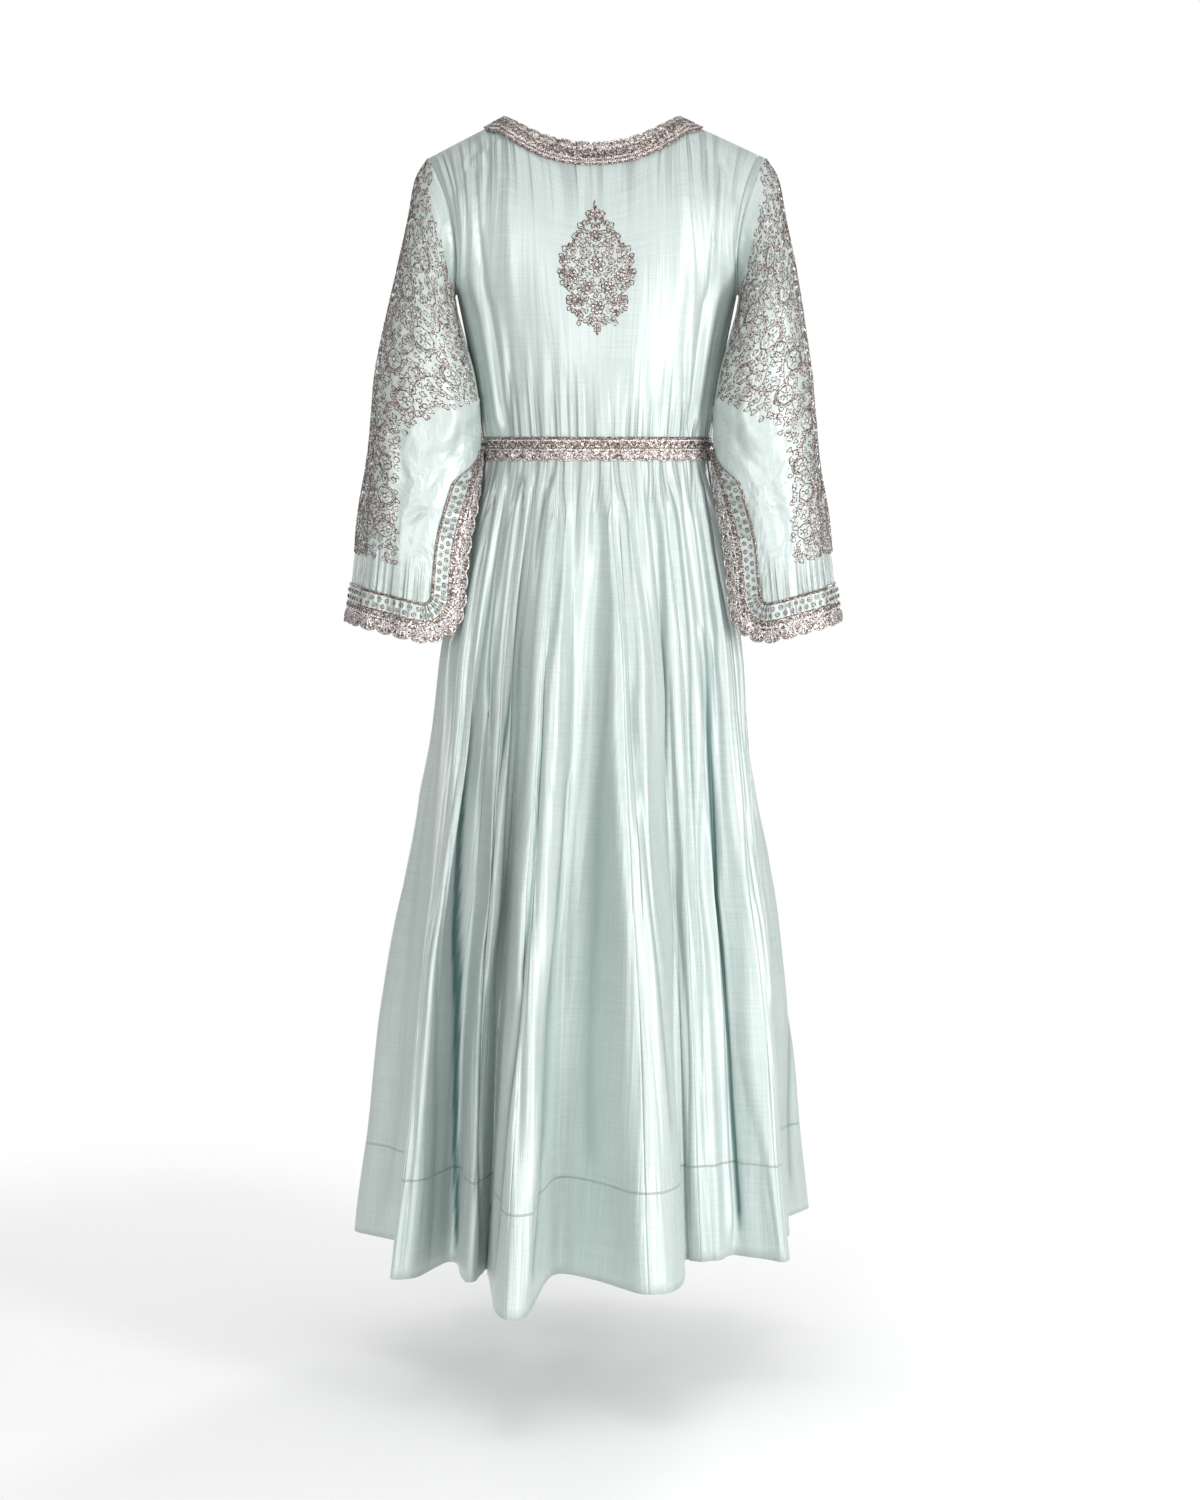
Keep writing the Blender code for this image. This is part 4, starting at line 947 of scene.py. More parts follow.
SLEEVE_PANEL = (  # share of the way down the sleeve, and half the panel's width round the arm
    (0.0, 0.09), (0.03, 0.17), (0.05, 0.27), (0.065, 0.42), (0.36, 0.43), (0.385, 0.39),
    (0.42, 0.33), (0.48, 0.25), (0.55, 0.205), (0.62, 0.205), (0.70, 0.22), (0.77, 0.235), (0.835, 0.235),
)
SLEEVE_ROSETTES = (  # metres round from the middle of the panel, metres down, radius
    (0.006, 0.030, 0.0085), (-0.030, 0.062, 0.0095), (0.036, 0.074, 0.0110), (0.086, 0.066, 0.0100),
    (-0.078, 0.082, 0.0105), (0.004, 0.104, 0.0120), (0.062, 0.118, 0.0120), (0.118, 0.108, 0.0100),
    (-0.046, 0.128, 0.0115), (-0.106, 0.130, 0.0110), (0.028, 0.158, 0.0115), (0.092, 0.160, 0.0120),
    (-0.014, 0.192, 0.0120), (-0.076, 0.178, 0.0120), (0.058, 0.204, 0.0115), (0.122, 0.186, 0.0100),
    (-0.122, 0.196, 0.0100), (0.018, 0.236, 0.0115), (-0.046, 0.232, 0.0115), (0.078, 0.238, 0.0095),
    (-0.012, 0.276, 0.0115), (0.046, 0.268, 0.0110), (-0.060, 0.276, 0.0100), (0.022, 0.312, 0.0110),
    (-0.030, 0.322, 0.0110), (0.056, 0.318, 0.0085), (0.002, 0.354, 0.0110), (0.052, 0.356, 0.0100),
    (-0.050, 0.366, 0.0105), (0.024, 0.394, 0.0115), (-0.022, 0.402, 0.0110), (0.053, 0.400, 0.0095),
    (-0.054, 0.416, 0.0090),
)
# The sleeve's girth at shares of the way down
SLEEVE_GIRTH = ((0, 0.452), (0.15, 0.41), (0.25, 0.392), (0.5, 0.393), (0.75, 0.306), (1, 0.304))
OUTSIDE_LENGTH = SLEEVE_CUT[1]


def panel_half(y):
    """Half the embroidered panel's width, in metres, at y down it."""
    downs, halves = np.transpose(SLEEVE_PANEL)
    girth = np.interp(y / OUTSIDE_LENGTH, *np.transpose(SLEEVE_GIRTH))
    return np.interp(y / OUTSIDE_LENGTH, downs, halves) * girth


def vine(work, start, end, bow, rng):
    """A stem between two flowers, with leaves on alternate sides."""
    share = np.linspace(0, 1, 10)[:, None]
    start, end = np.array(start), np.array(end)
    side = np.array([start[1] - end[1], end[0] - start[0]])
    path = start + (end - start) * share + side * bow * np.sin(np.pi * share)
    work["thread"].append(np.c_[path, np.full(len(path), 1.0)])
    for k in range(1, 9, 2):
        heading = math.atan2(*(path[k + 1] - path[k])[::-1]) + (0.9 if k % 4 == 1 else -0.9)
        leaf(work, *path[k], heading, rng.uniform(0.0045, 0.0065), 1.8)


def sleeve_work(seed):
    """One sleeve's flat panel: flowers at their places, vines between near ones, and fill."""
    rng = np.random.default_rng(seed)
    work = empty_work()
    taken = []
    for x, y, radius in SLEEVE_ROSETTES:
        x, y = x + rng.uniform(-0.003, 0.003), y + rng.uniform(-0.003, 0.003)
        rosette(work, x, y, radius, 8 if radius > 0.0105 else 7, rng.uniform(0, 1))
        begun, part = rng.uniform(0, 6), rng.uniform(0.45, 0.75)
        ring(work, x, y, radius * 1.32, 14, 1.0, part=part, start=begun)
        ring(work, x, y, radius * 1.14, 14, 0.8, part=part * 0.8, start=begun + 0.3)
        curl(work, *away(x, y, begun, radius * 1.30), begun - math.pi / 2, 0.0030, -1)
        taken.append((x, y, radius))
    for i, (x, y, radius) in enumerate(taken):
        near = sorted((math.hypot(x - a, y - b), j) for j, (a, b, _) in enumerate(taken) if j > i)
        for far, j in near[:2]:
            if far < 0.075:
                a, b, other = taken[j]
                dx, dy = (a - x) / far, (b - y) / far
                vine(work, (x + dx * radius, y + dy * radius), (a - dx * other, b - dy * other),
                     rng.choice((-0.18, 0.18)), rng)
    foot = SLEEVE_PANEL[-1][0] * OUTSIDE_LENGTH
    spots = strewn(rng, lambda x, y: abs(x) < panel_half(y) - 0.003 and 0.002 < y < foot - 0.003,
                   ((-0.19, 0.0), (0.19, foot)), 0.0063, [(x, y, radius + 0.0042) for x, y, radius in taken],
                   60000)
    for k, (x, y) in enumerate(spots):
        turn, hand = rng.uniform(0, 2 * math.pi), rng.choice((-1, 1))
        if k % 10 < 3:
            sprig(work, x, y, turn, rng.uniform(0.0030, 0.0038), hand)
        elif k % 10 == 3:
            blossom(work, x, y, rng.uniform(0.0034, 0.0040), turn, 4)
        else:
            blossom(work, x, y, rng.uniform(0.0032, 0.0037), turn)
    return work


for word, flip in (("left", 1), ("right", -1)):
    points, normals = sleeves[word]

    def on_arm(x, y):
        down = y / OUTSIDE_LENGTH
        across = 0.5 - x / np.interp(down, *np.transpose(SLEEVE_GIRTH))
        over = across * (points.shape[1] - 1)
        return laid_on(points, normals, over, down * (len(points) - 1))

    sewn(f"sleeve_work_{word}", sleeve_work(11 if flip > 0 else 23), on_arm, OVER_CLOTH)

# ---- Cuff borders ----
# A scalloped border 44 mm wide along each wrist and up both edges of the slit: close metal
# thread at the scallops, then two rows of small rings on bare silk, and two cords.

cuff_ground = metal_thread("worked cuff ground", (0.060, 0.040, 0.031), (0.25, 0.215, 0.19),
                           (0.72, 0.73, 0.71), 620)
BORDER_WIDTH, CUFF_PITCH, CUFF_DEPTH, CUFF_ROWS = 0.044, 0.0215, 0.0055, 15
BARE_SILK = (0.0228, 0.0400)  # how far in the strip of bare silk begins and ends
SLIT_END, OVER_SLEEVE = 0.012, 0.0006  # how far below the slit's top it begins, and off the silk it lies


def border_path():
    """The edge of the sleeve's opening from the slit's top round the wrist and up again: for each
    step a point on the flat cuff and the direction in from the edge."""
    slit = SLEEVE_LENGTH * (1 - SLIT_TOP) - SLIT_END
    radius, right = CORNER_RADIUS, CUFF_ACROSS - CORNER_RADIUS
    quarter, straight = radius * math.pi / 2, slit - radius
    length = 2 * straight + 2 * quarter + right - radius
    scallops = round(length / CUFF_PITCH)
    made = []
    for far in np.linspace(0, length, scallops * SCALLOP_STEPS + 1):
        left = length - far
        if far <= straight:
            made.append((0, slit - far, 1, 0))
        elif left <= straight:
            made.append((CUFF_ACROSS, slit - left, -1, 0))
        elif far <= straight + quarter:
            turn = (far - straight) / radius
            made.append((radius - radius * math.cos(turn), radius - radius * math.sin(turn),
                         math.cos(turn), math.sin(turn)))
        elif left <= straight + quarter:
            turn = (left - straight) / radius
            made.append((right + radius * math.cos(turn), radius - radius * math.sin(turn),
                         -math.cos(turn), math.sin(turn)))
        else:
            made.append((radius + far - straight - quarter, 0, 0, 1))
    return np.array(made), length, scallops


path, border_length, scallops = border_path()
count = len(path) - 1
steps = np.arange(count + 1)
clear = eased(np.minimum(steps, count - steps) / SCALLOP_STEPS / 2.5)
width = BORDER_WIDTH * (0.28 + 0.72 * clear)
edge = -scallop(steps / SCALLOP_STEPS, CUFF_DEPTH * clear)
share = np.linspace(0, 1, CUFF_ROWS)[:, None]
depth_in = edge + (width - edge) * share
flat_along, flat_up = path[:, 0] + path[:, 2] * depth_in, path[:, 1] + path[:, 3] * depth_in
for word, flip in (("left", 1), ("right", -1)):
    place = folded_sleeve(1 - flat_up / SLEEVE_LENGTH, flat_along / CUFF_ACROSS, flip) * (flip, 1, 1)
    normals = facing(place, from_arm(place, flip))
    face = place + normals * (OVER_SLEEVE + BAND_WALL)
    cut = np.stack(np.broadcast_arrays(np.linspace(0, border_length, count + 1)[None], depth_in), -1)
    piece = cloth(f"cuff_border_{word}", face, normals, cut, cuff_ground, BAND_WALL)
    piece.data.materials.append(silk)
    for polygon in piece.data.polygons:
        deep = np.mean([piece.data.uv_layers["cut"].data[i].uv[1] for i in polygon.loop_indices])
        polygon.material_index = int(BARE_SILK[0] < deep < BARE_SILK[1])
    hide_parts(f"cuff_border_{word}")
    work = border_work(border_length, scallops, CUFF_DEPTH, [
        ("fans", 0.0, 0.0124), ("sequins", 0.0126, 0.0148), ("scrolls", 0.0150, 0.0206),
        ("cord", 0.0210, 0.0224), ("rings", 0.0232, 0.0398), ("cord", 0.0404, 0.0419),
        ("cord", 0.0421, 0.0438)])

    def on_cuff(x, y):
        at = x / border_length * count
        rim, inner = np.interp(at, steps, edge), np.interp(at, steps, width)
        narrow = np.where(y > 0, y * inner / BORDER_WIDTH, y * -rim / CUFF_DEPTH)
        narrow = np.where(y > 0, narrow, np.maximum(narrow, rim))
        return laid_on(face, normals, at, (narrow - rim) / (inner - rim) * (CUFF_ROWS - 1))

    sewn(f"cuff_work_{word}", work, on_cuff)
    size, area = measured(face)

# ---- Skirt ----
# Fifteen flared panels of the same silk, seamed together, pleated into the waist and turned up
# 115 mm at the hem, which hangs lower on the deepest folds.

FLUTES = (  # bearing at the waist, valley x and y, crest x and y, half the breadth, extra drop
    (-9, -0.104, 0.074, -0.071, 0.243, 0.034, 0.0),
    (18, 0.066, 0.080, 0.095, 0.298, 0.022, 0.016),
    (36, 0.128, 0.072, 0.150, 0.190, 0.010, 0.0),
    (54, 0.168, 0.052, 0.231, 0.178, 0.018, 0.0),
    (80, 0.200, 0.010, 0.293, -0.072, 0.026, 0.0),
    (106, 0.208, -0.110, 0.264, -0.178, 0.022, 0.0),
    (128, 0.164, -0.134, 0.190, -0.262, 0.024, 0.0),
    (148, 0.106, -0.155, 0.098, -0.305, 0.028, 0.0),
    (172, 0.032, -0.168, 0.004, -0.318, 0.022, 0.0),
    (196, -0.036, -0.165, -0.090, -0.294, 0.030, 0.0),
    (220, -0.114, -0.150, -0.180, -0.252, 0.022, 0.0),
    (243, -0.160, -0.124, -0.264, -0.194, 0.018, 0.0),
    (268, -0.200, -0.092, -0.232, -0.034, 0.022, 0.0),
    (298, -0.166, 0.006, -0.226, 0.090, 0.022, 0.0),
    (325, -0.163, 0.040, -0.132, 0.090, 0.020, 0.0),
)
PANELS = len(FLUTES)
CREST_ROUND, HIP_SPRING, PLEAT_HEIGHT = 0.006, 0.0135, 0.0040
OPENING = (  # share of the drop, and how far the flutes have opened there
    (0.0, 0.0), (0.02, 0.0), (0.06, 0.03), (0.14, 0.11), (0.24, 0.215), (0.35, 0.30),
    (0.44, 0.43), (0.58, 0.66), (0.70, 0.78), (0.79, 0.845), (0.88, 0.905), (1.0, 1.0),
)
WAIST_GIRTH, HEM_GIRTH = 0.746, 3.23
RIPPLES = (  # how many round the ring, how high, and from and to which share of the drop
    (44, 0.0050, 0.0, 0.45), (90, 0.0050, 0.20, 1.1), (180, 0.0024, 0.45, 1.1),
)
# Folds of the skirt: a path of (place round the ring, share of the drop) points from the strong
# end down, how high it stands, and its width on the two sides, in metres. Four places make one
# flute
PLEATS = [
    (((14.2, 0.02), (14.8, 0.10), (14.9, 0.19), (14.2, 0.50)), 0.0070, 0.022, 0.004),
    (((9.8, 0.02), (9.6, 0.12), (9.9, 0.20), (10.2, 0.40)), 0.0050, 0.006, 0.006),
    (((8.2, 0.02), (8.2, 0.12), (8.4, 0.20), (8.9, 0.50)), 0.0055, 0.007, 0.006),
    (((6.3, 0.02), (6.5, 0.12), (6.5, 0.20), (6.6, 0.55)), 0.0050, 0.006, 0.007),
    (((4.4, 0.02), (4.5, 0.12), (4.6, 0.25), (4.9, 0.70)), 0.0050, 0.007, 0.008),
    (((2.2, 0.02), (2.2, 0.11), (2.4, 0.28), (2.9, 0.60)), 0.0050, 0.007, 0.008),
    (((0.6, 0.02), (0.5, 0.15), (0.7, 0.35), (0.8, 0.70)), 0.0045, 0.008, 0.007),
    (((-1.4, 0.02), (-1.5, 0.15), (-1.6, 0.40), (-1.4, 0.75)), 0.0050, 0.008, 0.007),
    (((-3.0, 0.02), (-3.1, 0.12), (-3.3, 0.30), (-3.2, 0.60)), 0.0050, 0.006, 0.009),
]
CREASES = [
    (((14.6, 0.10), (13.9, 0.20), (13.4, 0.28), (13.0, 0.37), (12.8, 0.48)), -0.0050, 0.0060, 0.0055),
    (((13.1, 0.30), (13.0, 0.37), (12.7, 0.48), (12.3, 0.64), (12.1, 0.85), (11.8, 1.0)),
     -0.0135, 0.0055, 0.0050),
    (((8.8, 0.02), (9.1, 0.20), (9.6, 0.32), (10.1, 0.42), (10.4, 0.54), (10.2, 0.66), (9.7, 0.79),
      (9.3, 0.88), (8.7, 1.0)), -0.0085, 0.0055, 0.0050),
    (((5.2, 0.02), (5.6, 0.15), (6.1, 0.28), (6.2, 0.50), (6.4, 0.62), (6.8, 0.74), (7.1, 0.86), (7.3, 1.0)),
     -0.0075, 0.0060, 0.0050),
    (((12.4, 0.02), (11.9, 0.13), (12.2, 0.20), (11.8, 0.30), (11.5, 0.36), (11.0, 0.44)),
     -0.0065, 0.005, 0.005),
    (((7.1, 0.02), (7.5, 0.12), (7.2, 0.18), (7.0, 0.27), (6.9, 0.40), (7.1, 0.48)), -0.0050, 0.005, 0.005),
    (((8.6, 0.33), (8.2, 0.42), (8.5, 0.50), (8.7, 0.64), (8.2, 0.80), (8.0, 0.95)), -0.0040, 0.005, 0.005),
    (((3.8, 0.02), (3.2, 0.10), (2.9, 0.18), (3.1, 0.28), (3.4, 0.42), (3.5, 0.62), (3.5, 0.90)),
     -0.0050, 0.0070, 0.0065),
    (((4.3, 0.36), (4.3, 0.54), (4.4, 0.68), (4.4, 0.81), (4.8, 0.93), (4.9, 1.0)), -0.0065, 0.0035, 0.0070),
    (((1.4, 0.05), (1.5, 0.20), (1.7, 0.30), (1.6, 0.50), (1.0, 0.85)), -0.0055, 0.006, 0.006),
    (((-0.4, 0.02), (-0.5, 0.20), (-0.3, 0.45), (-0.1, 0.70), (0.0, 1.0)), -0.0085, 0.007, 0.0075),
    (((-2.2, 0.02), (-2.3, 0.20), (-2.4, 0.50), (-2.1, 0.80)), -0.0050, 0.006, 0.006),
    (((-4.2, 0.02), (-3.9, 0.35), (-3.9, 0.55), (-4.1, 0.75), (-4.2, 1.0)), -0.0105, 0.0075, 0.0065),
    (((5.3, 0.20), (5.2, 0.50), (5.1, 0.70), (5.4, 0.88), (5.5, 1.0)), 0.0050, 0.009, 0.007),
    (((10.9, 0.62), (10.6, 0.75), (10.3, 0.88), (10.2, 1.0)), -0.0035, 0.0045, 0.0045),
    (((14.6, 0.24), (14.2, 0.36), (13.9, 0.50), (13.6, 0.70)), 0.0050, 0.007, 0.007),
    (((16.2, 0.20), (16.7, 0.43), (16.5, 0.60), (16.3, 0.80), (16.6, 1.0)), 0.0090, 0.045, 0.0055),
]
SEAMS = [
    (((14.4, 0.28), (13.9, 0.42), (13.5, 0.53), (13.0, 0.68), (12.8, 0.80), (12.7, 1.0)),
     -0.0028, 0.004, 0.004),
    (((4.5, 0.02), (4.4, 0.16), (4.5, 0.38), (4.6, 0.70), (4.6, 1.0)), -0.0016, 0.004, 0.004),
    (((-4.2, 0.45), (-4.5, 0.74), (-5.2, 0.93), (-5.4, 1.0)), -0.0022, 0.004, 0.004),
    (((-6.2, 0.35), (-6.4, 0.68), (-6.5, 1.0)), -0.0022, 0.004, 0.004),
]


def elsewhere(folds, turn, mirrored):
    """The same folds on another stretch of the ring, uneven in height, and mirrored or not."""
    hand, made = (-1 if mirrored else 1), []
    for k, (path, height, right, left) in enumerate(folds):
        moved = [(turn + hand * place, down) for place, down in path]
        if mirrored:
            right, left = left, right
        made.append((moved, height * (0.85, 1.1, 0.95)[k % 3], right, left))
    return made


def rumpled(place, down):
    """Uneven upright ripples of the crisp silk. They are coarser round the ring at the top, where
    the ring is short, and finer at the hem."""
    rng = np.random.default_rng(15)
    lift = 0
    for number, height, from_down, to_down in RIPPLES:
        table = rng.uniform(-1, 1, (7, number))
        x = place * number / (4 * PANELS) + 0.6 * np.sin(5 * down + number)
        y = np.clip(down * 5 + rng.uniform(0, 1), 0, 5.999)
        c, r = np.floor(x).astype(int), np.floor(y).astype(int)
        u, v = (x - c + eased(x - c)) / 2, eased(y - r)
        c %= number
        upper = table[r, c] * (1 - u) + table[r, (c + 1) % number] * u
        lower = table[r + 1, c] * (1 - u) + table[r + 1, (c + 1) % number] * u
        share = eased((down - from_down) / 0.12) * (1 - eased((down - to_down) / 0.3))
        lift = lift + height * share * (upper * (1 - v) + lower * v)
    return lift


def flute_controls():
    """Pairs of points at the waist and at the hem: each flute's valley, then the near side, the
    top and the far side of its crest."""
    made, table = [], np.array(FLUTES)

    def waist(bearing):
        turn = math.radians(bearing)
        depth = TORSO[0][2] if math.cos(turn) > 0 else TORSO[0][3]
        return TORSO[0][1] * math.sin(turn), depth * math.cos(turn), 0

    for i, (bearing, _, _, _, _, half_breadth, drop) in enumerate(table):
        ahead, behind = table[(i + 1) % len(table)], table[i - 1]
        before = (behind[0] - 360 * (i == 0) + bearing) / 2
        after = (bearing + ahead[0] + 360 * (i == len(table) - 1)) / 2
        valley, crest = np.array([*table[i, 1:3], 0]), np.array([*table[i, 3:5], 0])
        out = crest - (valley + [*ahead[1:3], 0]) / 2
        out /= np.linalg.norm(out)
        breadth = np.array([out[1], -out[0], 0]) * half_breadth
        crest[2] = -drop
        made += [(waist(before), valley), (waist((before + bearing) / 2), crest - breadth),
                 (waist(bearing), crest + out * CREST_ROUND), (waist((bearing + after) / 2), crest + breadth)]
    return np.array(made)


def skirt(place, down):
    """The skirt's outer face: place counts the ring's control points, and down is 0 to 1."""
    controls = flute_controls()
    waist, hem = controls[:, 0], controls[:, 1]
    opened = between(OPENING, down)[0][..., None]
    hip = (HIP_SPRING * np.sin(np.pi * np.minimum(1, down / 0.55)))[..., None]
    base = np.floor(place).astype(int)
    t = place - base
    weights = ((1 - t) ** 3 / 6, (3 * t**3 - 6 * t**2 + 4) / 6,
               (-3 * t**3 + 3 * t**2 + 3 * t + 1) / 6, t**3 / 6)
    point, slope = 0, 0
    for offset, weight in enumerate(weights):
        at = (base - 1 + offset) % len(controls)
        rim = waist[at] / np.linalg.norm(waist[at], axis=-1, keepdims=True)
        spot = waist[at] + (hem[at] - waist[at]) * opened + rim * hip
        point = point + spot * weight[..., None]
        slope = slope + spot * (offset - 1.5)
    pleat = PLEAT_HEIGHT * eased((down - 0.014) / 0.086) * (1 - eased((down - 0.10) / 0.75))
    side = np.stack([-slope[..., 1], slope[..., 0], 0 * down], -1)
    side /= np.linalg.norm(side, axis=-1, keepdims=True)
    point = point + side * (pleat * np.cos(1.5 * np.pi * place))[..., None]
    point[..., 2] += WAIST_Z + (HEM_Z - WAIST_Z) * down
    return point


def around_ring(values):
    """How values change from column to column of the closed ring."""
    return np.gradient(np.concatenate([values[:, -2:-1], values, values[:, 1:2]], 1), axis=1)[:, 1:-1]


def clearance(ring, way):
    """How far the cloth at each point can move along way before it meets another part of it."""
    rows, columns = ring.shape[:2]
    at = np.arange(rows * columns).reshape(rows, columns)
    faces = np.stack([at[:-1, :-1], at[:-1, 1:], at[1:, 1:], at[1:, :-1]], -1).reshape(-1, 4)
    tree = BVHTree.FromPolygons(ring.reshape(-1, 3).tolist(), faces.tolist())
    room = []
    for point, ahead in zip(ring.reshape(-1, 3), way.reshape(-1, 3)):
        far = tree.ray_cast(Vector(point + 0.0004 * ahead), Vector(ahead), LOOK_AHEAD)[3]
        room.append(LOOK_AHEAD if far is None else far)
    room = np.array(room).reshape(rows, columns)
    for _ in range(3):
        room = np.minimum(room, np.minimum(np.roll(room, 1, 1), np.roll(room, -1, 1)))
        room[1:-1] = np.minimum(room[1:-1], np.minimum(room[:-2], room[2:]))
    for _ in range(4):
        room = (np.roll(room, 1, 1) + 2 * room + np.roll(room, -1, 1)) / 4
        room[1:-1] = (room[:-2] + 2 * room[1:-1] + room[2:]) / 4
    room[:, -1] = room[:, 0]
    return room


PANEL_COLUMNS, PANEL_LENGTH, HEM_LINE = 56, 0.97, -0.855
SEAM_AT = 7 / 12  # of the way from one valley to the next
ROOM_USED, TIGHTEST_BEND = 0.40, 0.6  # of the free room, and of a bend's radius, that a fold takes up
LOOK_AHEAD = 0.03  # room beyond this isn't looked for
rows = np.concatenate([np.linspace(0, 0.25, 26), np.linspace(0.25, 1, 54)[1:]])
hemmed_silk = raw_silk("mint raw silk with a stitched hem", 0.0029, (46, 2.2), ((0.0, 0.13),), HEM_LINE)
place, down = np.meshgrid(np.arange(PANEL_COLUMNS * PANELS + 1) * 4 / PANEL_COLUMNS, rows)
plain = skirt(place, down)
out = facing(plain, plain * (1, 1, 0), around=True)
unit = (WAIST_GIRTH + (HEM_GIRTH - WAIST_GIRTH) * between(OPENING, down)[0]) / (4 * PANELS)
lift, shade = rumpled(place, down), 0
# The folds come again, mirrored and moved, round the rest of the ring
for folds, hold, deepest in ((PLEATS, 0.35, 0), (CREASES, 0.93, 0.0085), (SEAMS, 0.97, 0.0045)):
    for turn, mirrored in ((0, False), (32, True), (40, False)):
        moved = elsewhere(folds, turn, mirrored) if turn else folds
        made = folded(place, down, moved, 4 * PANELS, hold, unit) * (0.5 + 0.5 * eased(down / 0.35))
        lift += made
        # Painted shade: how deep each point lies in a crease or seam groove, which the silk darkens
        if deepest:
            shade = np.maximum(shade, np.clip(-made / deepest, 0, 1) ** 2.5 * eased((down - 0.08) / 0.3))
bend = (around_ring(out) * around_ring(plain)).sum(-1) / (around_ring(plain) ** 2).sum(-1)
tight = TIGHTEST_BEND / np.maximum(np.abs(bend), 1e-6)
for _ in range(2):
    tight = np.minimum(tight, np.minimum(np.roll(tight, 1, 1), np.roll(tight, -1, 1)))
inward, outward = (np.minimum(ROOM_USED * clearance(plain, way), tight) for way in (-out, out))
lift = np.clip(lift, -inward, outward)
for _ in range(2):
    lift = (np.roll(lift, 1, 1) + 2 * lift + np.roll(lift, -1, 1)) / 4
lift[:, -1] = lift[:, 0]
ring = plain + out * lift[..., None]
ring_normals = facing(ring, ring * (1, 1, 0), around=True)
for i in range(PANELS):
    first = i * PANEL_COLUMNS + round(SEAM_AT * PANEL_COLUMNS)
    picked = (first + np.arange(PANEL_COLUMNS + 1)) % (PANEL_COLUMNS * PANELS)
    points, normals = ring[:, picked], ring_normals[:, picked]
    share = np.linspace(-0.5, 0.5, PANEL_COLUMNS + 1)
    width = np.linalg.norm(np.diff(points, axis=1), axis=-1).sum(1)
    cut = np.stack([share[None] * width[:, None], -rows[:, None] * PANEL_LENGTH + 0 * share[None]], -1)
    piece = cloth(f"skirt_panel_{i + 1:02d}", points, normals, cut, hemmed_silk, shade=shade[:, picked])
    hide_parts(f"skirt_panel_{i + 1:02d}")
    size, area = measured(points)

# ---- Waistband ----
# A scalloped band 25 mm wide over the waist seam, worked like the neckband, with its scallops
# downwards. It is in two halves that meet at the side seams.

WAISTBAND_TOP, WAISTBAND_FOOT, WAIST_SCALLOPS, WAIST_DEPTH = -0.3740, -0.3990, 18, 0.0036
OVER_SKIRT = 0.0010  # how far its foot stands out over the skirt's pleats
for side, word in ((1, "back"), (-1, "front")):
    across, share = np.meshgrid(np.linspace(-1, 1, WAIST_SCALLOPS * SCALLOP_STEPS + 1),
                                np.linspace(0, 1, BAND_ROWS))
    low = WAISTBAND_FOOT - scallop(np.linspace(0, WAIST_SCALLOPS, across.shape[1]), WAIST_DEPTH)
    z = low + (WAISTBAND_TOP - low) * share
    place = torso(side, across, np.maximum(z, WAIST_Z))
    outward = place * (1, 1, 0) / np.linalg.norm(place[..., :2], axis=-1)[..., None]
    place = place + outward * (OVER_SKIRT * eased((WAIST_Z - z) / 0.004))[..., None]
    place[..., 2] = z
    normals = facing(place, outward)
    band(f"waistband_{word}", place, normals, WAISTBAND_TOP - WAISTBAND_FOOT, WAIST_SCALLOPS, WAIST_DEPTH,
         [("fans", 0.0, 0.0085), ("sequins", 0.0088, 0.0108), ("cord", 0.0112, 0.0126),
          ("scrolls", 0.0130, 0.0196), ("sequins", 0.0200, 0.0218), ("cord", 0.0222, 0.0246)], 0.0007)

# ---- Light and floor ----
# Soft lamps on both sides, before and behind, one above, white surroundings, and a round pale
# floor that fades out at its edge.

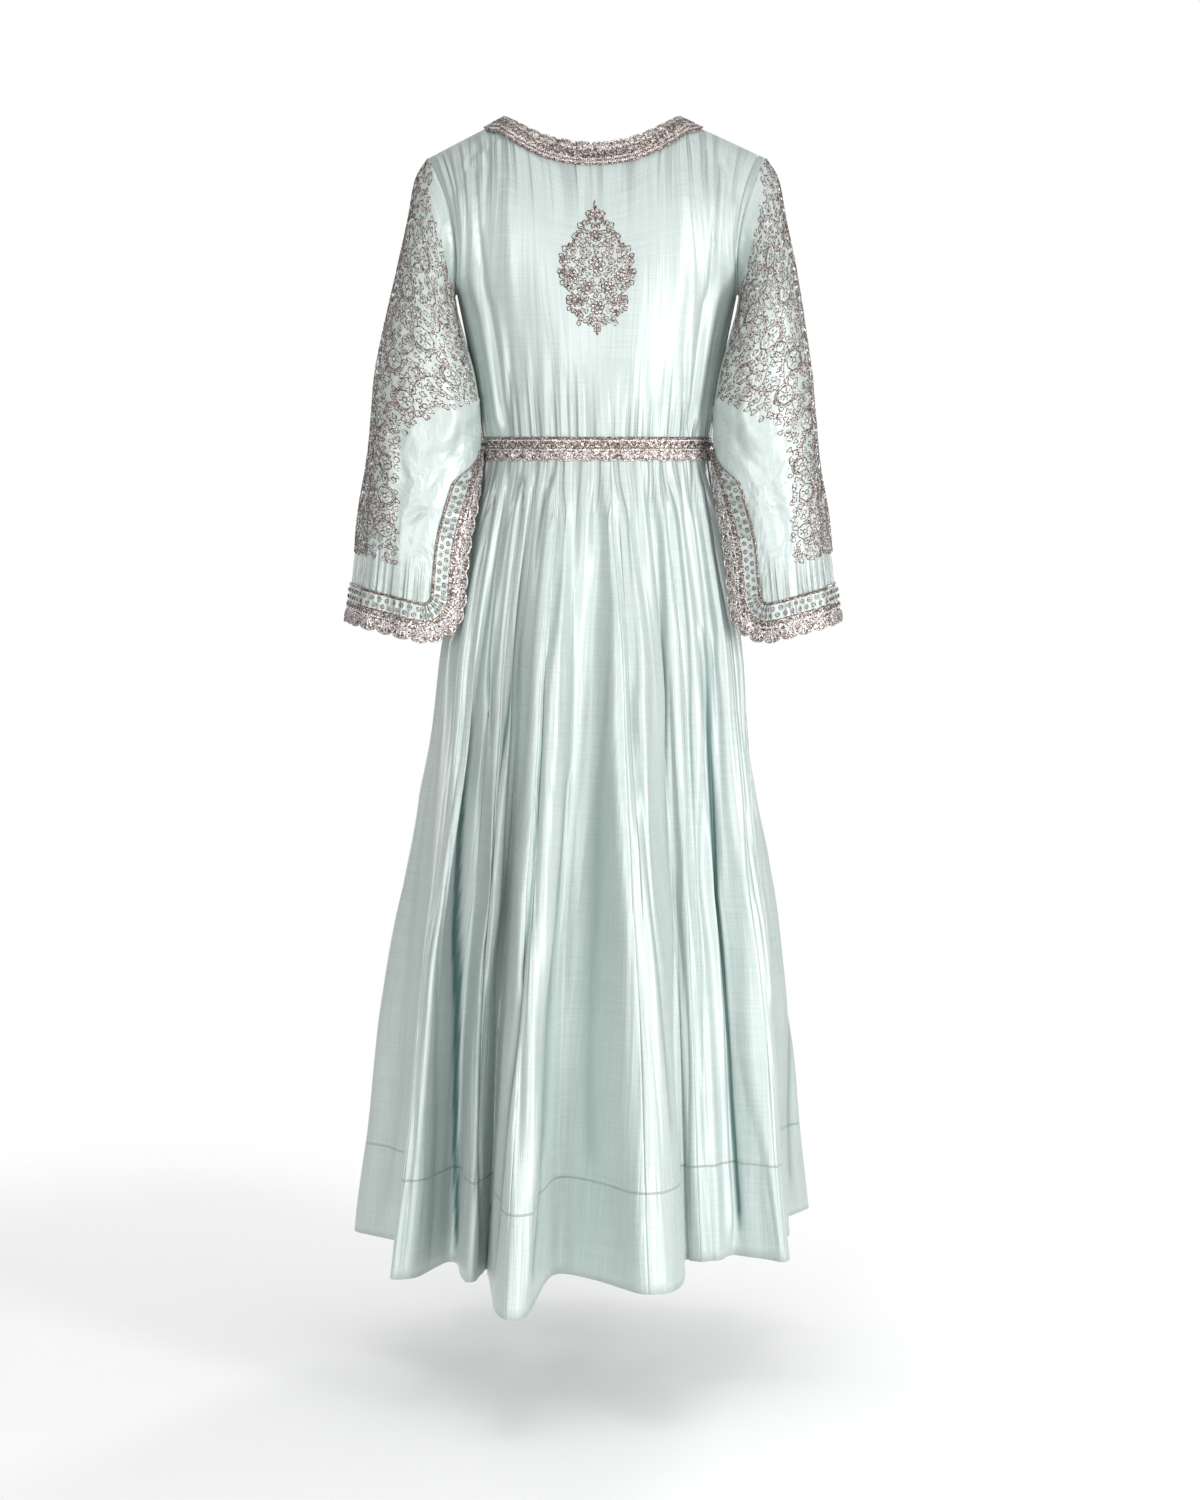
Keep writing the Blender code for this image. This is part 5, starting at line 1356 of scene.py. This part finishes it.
ROOM_LIGHT, FLOOR_RADIUS, FLOOR_HEIGHT, WHITE = 0.50, 1.7, -1.51, (1, 1, 1, 1)
LIT_POINT = Vector((0, 0, -0.7))  # the middle of the gown, which every soft box faces
for name, place, width, height, power in (
    ("left key lamp", (0.9, 3.8, -0.6), 0.7, 2.4, 62), ("right key lamp", (-2.7, 2.8, -0.5), 0.8, 2.4, 106),
    ("upper lamp", (0.0, 0.4, 2.8), 1.6, 1.6, 22), ("far left lamp", (2.0, -3.2, -0.2), 0.8, 2.4, 24),
    ("far right lamp", (-1.7, -3.4, -0.2), 0.8, 2.4, 66),
):
    light = bpy.data.lights.new(name, "AREA")
    light.shape, light.size, light.size_y, light.energy = "RECTANGLE", width, height, power
    stand = placed(name, light)
    stand.location = place
    stand.rotation_euler = (LIT_POINT - Vector(place)).to_track_quat("-Z", "Y").to_euler()

room = bpy.data.worlds.new("room")
room.use_nodes = True
surroundings = fed(room.node_tree.nodes["Background"], {"Color": WHITE, "Strength": ROOM_LIGHT})
backdrop = step(room, "Background", {"Color": WHITE})
seen = step(room, "LightPath").outputs["Is Camera Ray"]
either = step(room, "MixShader", {0: seen, 1: surroundings.outputs[0], 2: backdrop.outputs[0]})
fed(room.node_tree.nodes["World Output"], {"Surface": either.outputs[0]})
bpy.context.scene.world = room

body = bmesh.new()
bmesh.ops.create_circle(body, cap_ends=True, segments=96, radius=FLOOR_RADIUS,
                        matrix=Matrix.Translation((0, 0, FLOOR_HEIGHT)))
floor = placed("floor", shape_of("floor", body))
paint, board = new_finish("pale floor", {"Base Color": WHITE, "Roughness": 0.8})
spread = step(paint, "VectorMath", {0: step(paint, "TexCoord").outputs["Object"], 1: (1, 1, 0)},
              operation="MULTIPLY")
reach = step(paint, "VectorMath", {0: spread.outputs[0]}, operation="LENGTH")
fade = step(paint, "MapRange", {"Value": reach.outputs["Value"], "From Min": 0.6 * FLOOR_RADIUS,
                                "From Max": 0.98 * FLOOR_RADIUS, "To Min": 1, "To Max": 0},
            interpolation_type="SMOOTHSTEP")
fed(board, {"Alpha": fade.outputs[0]})
floor.data.materials.append(paint)
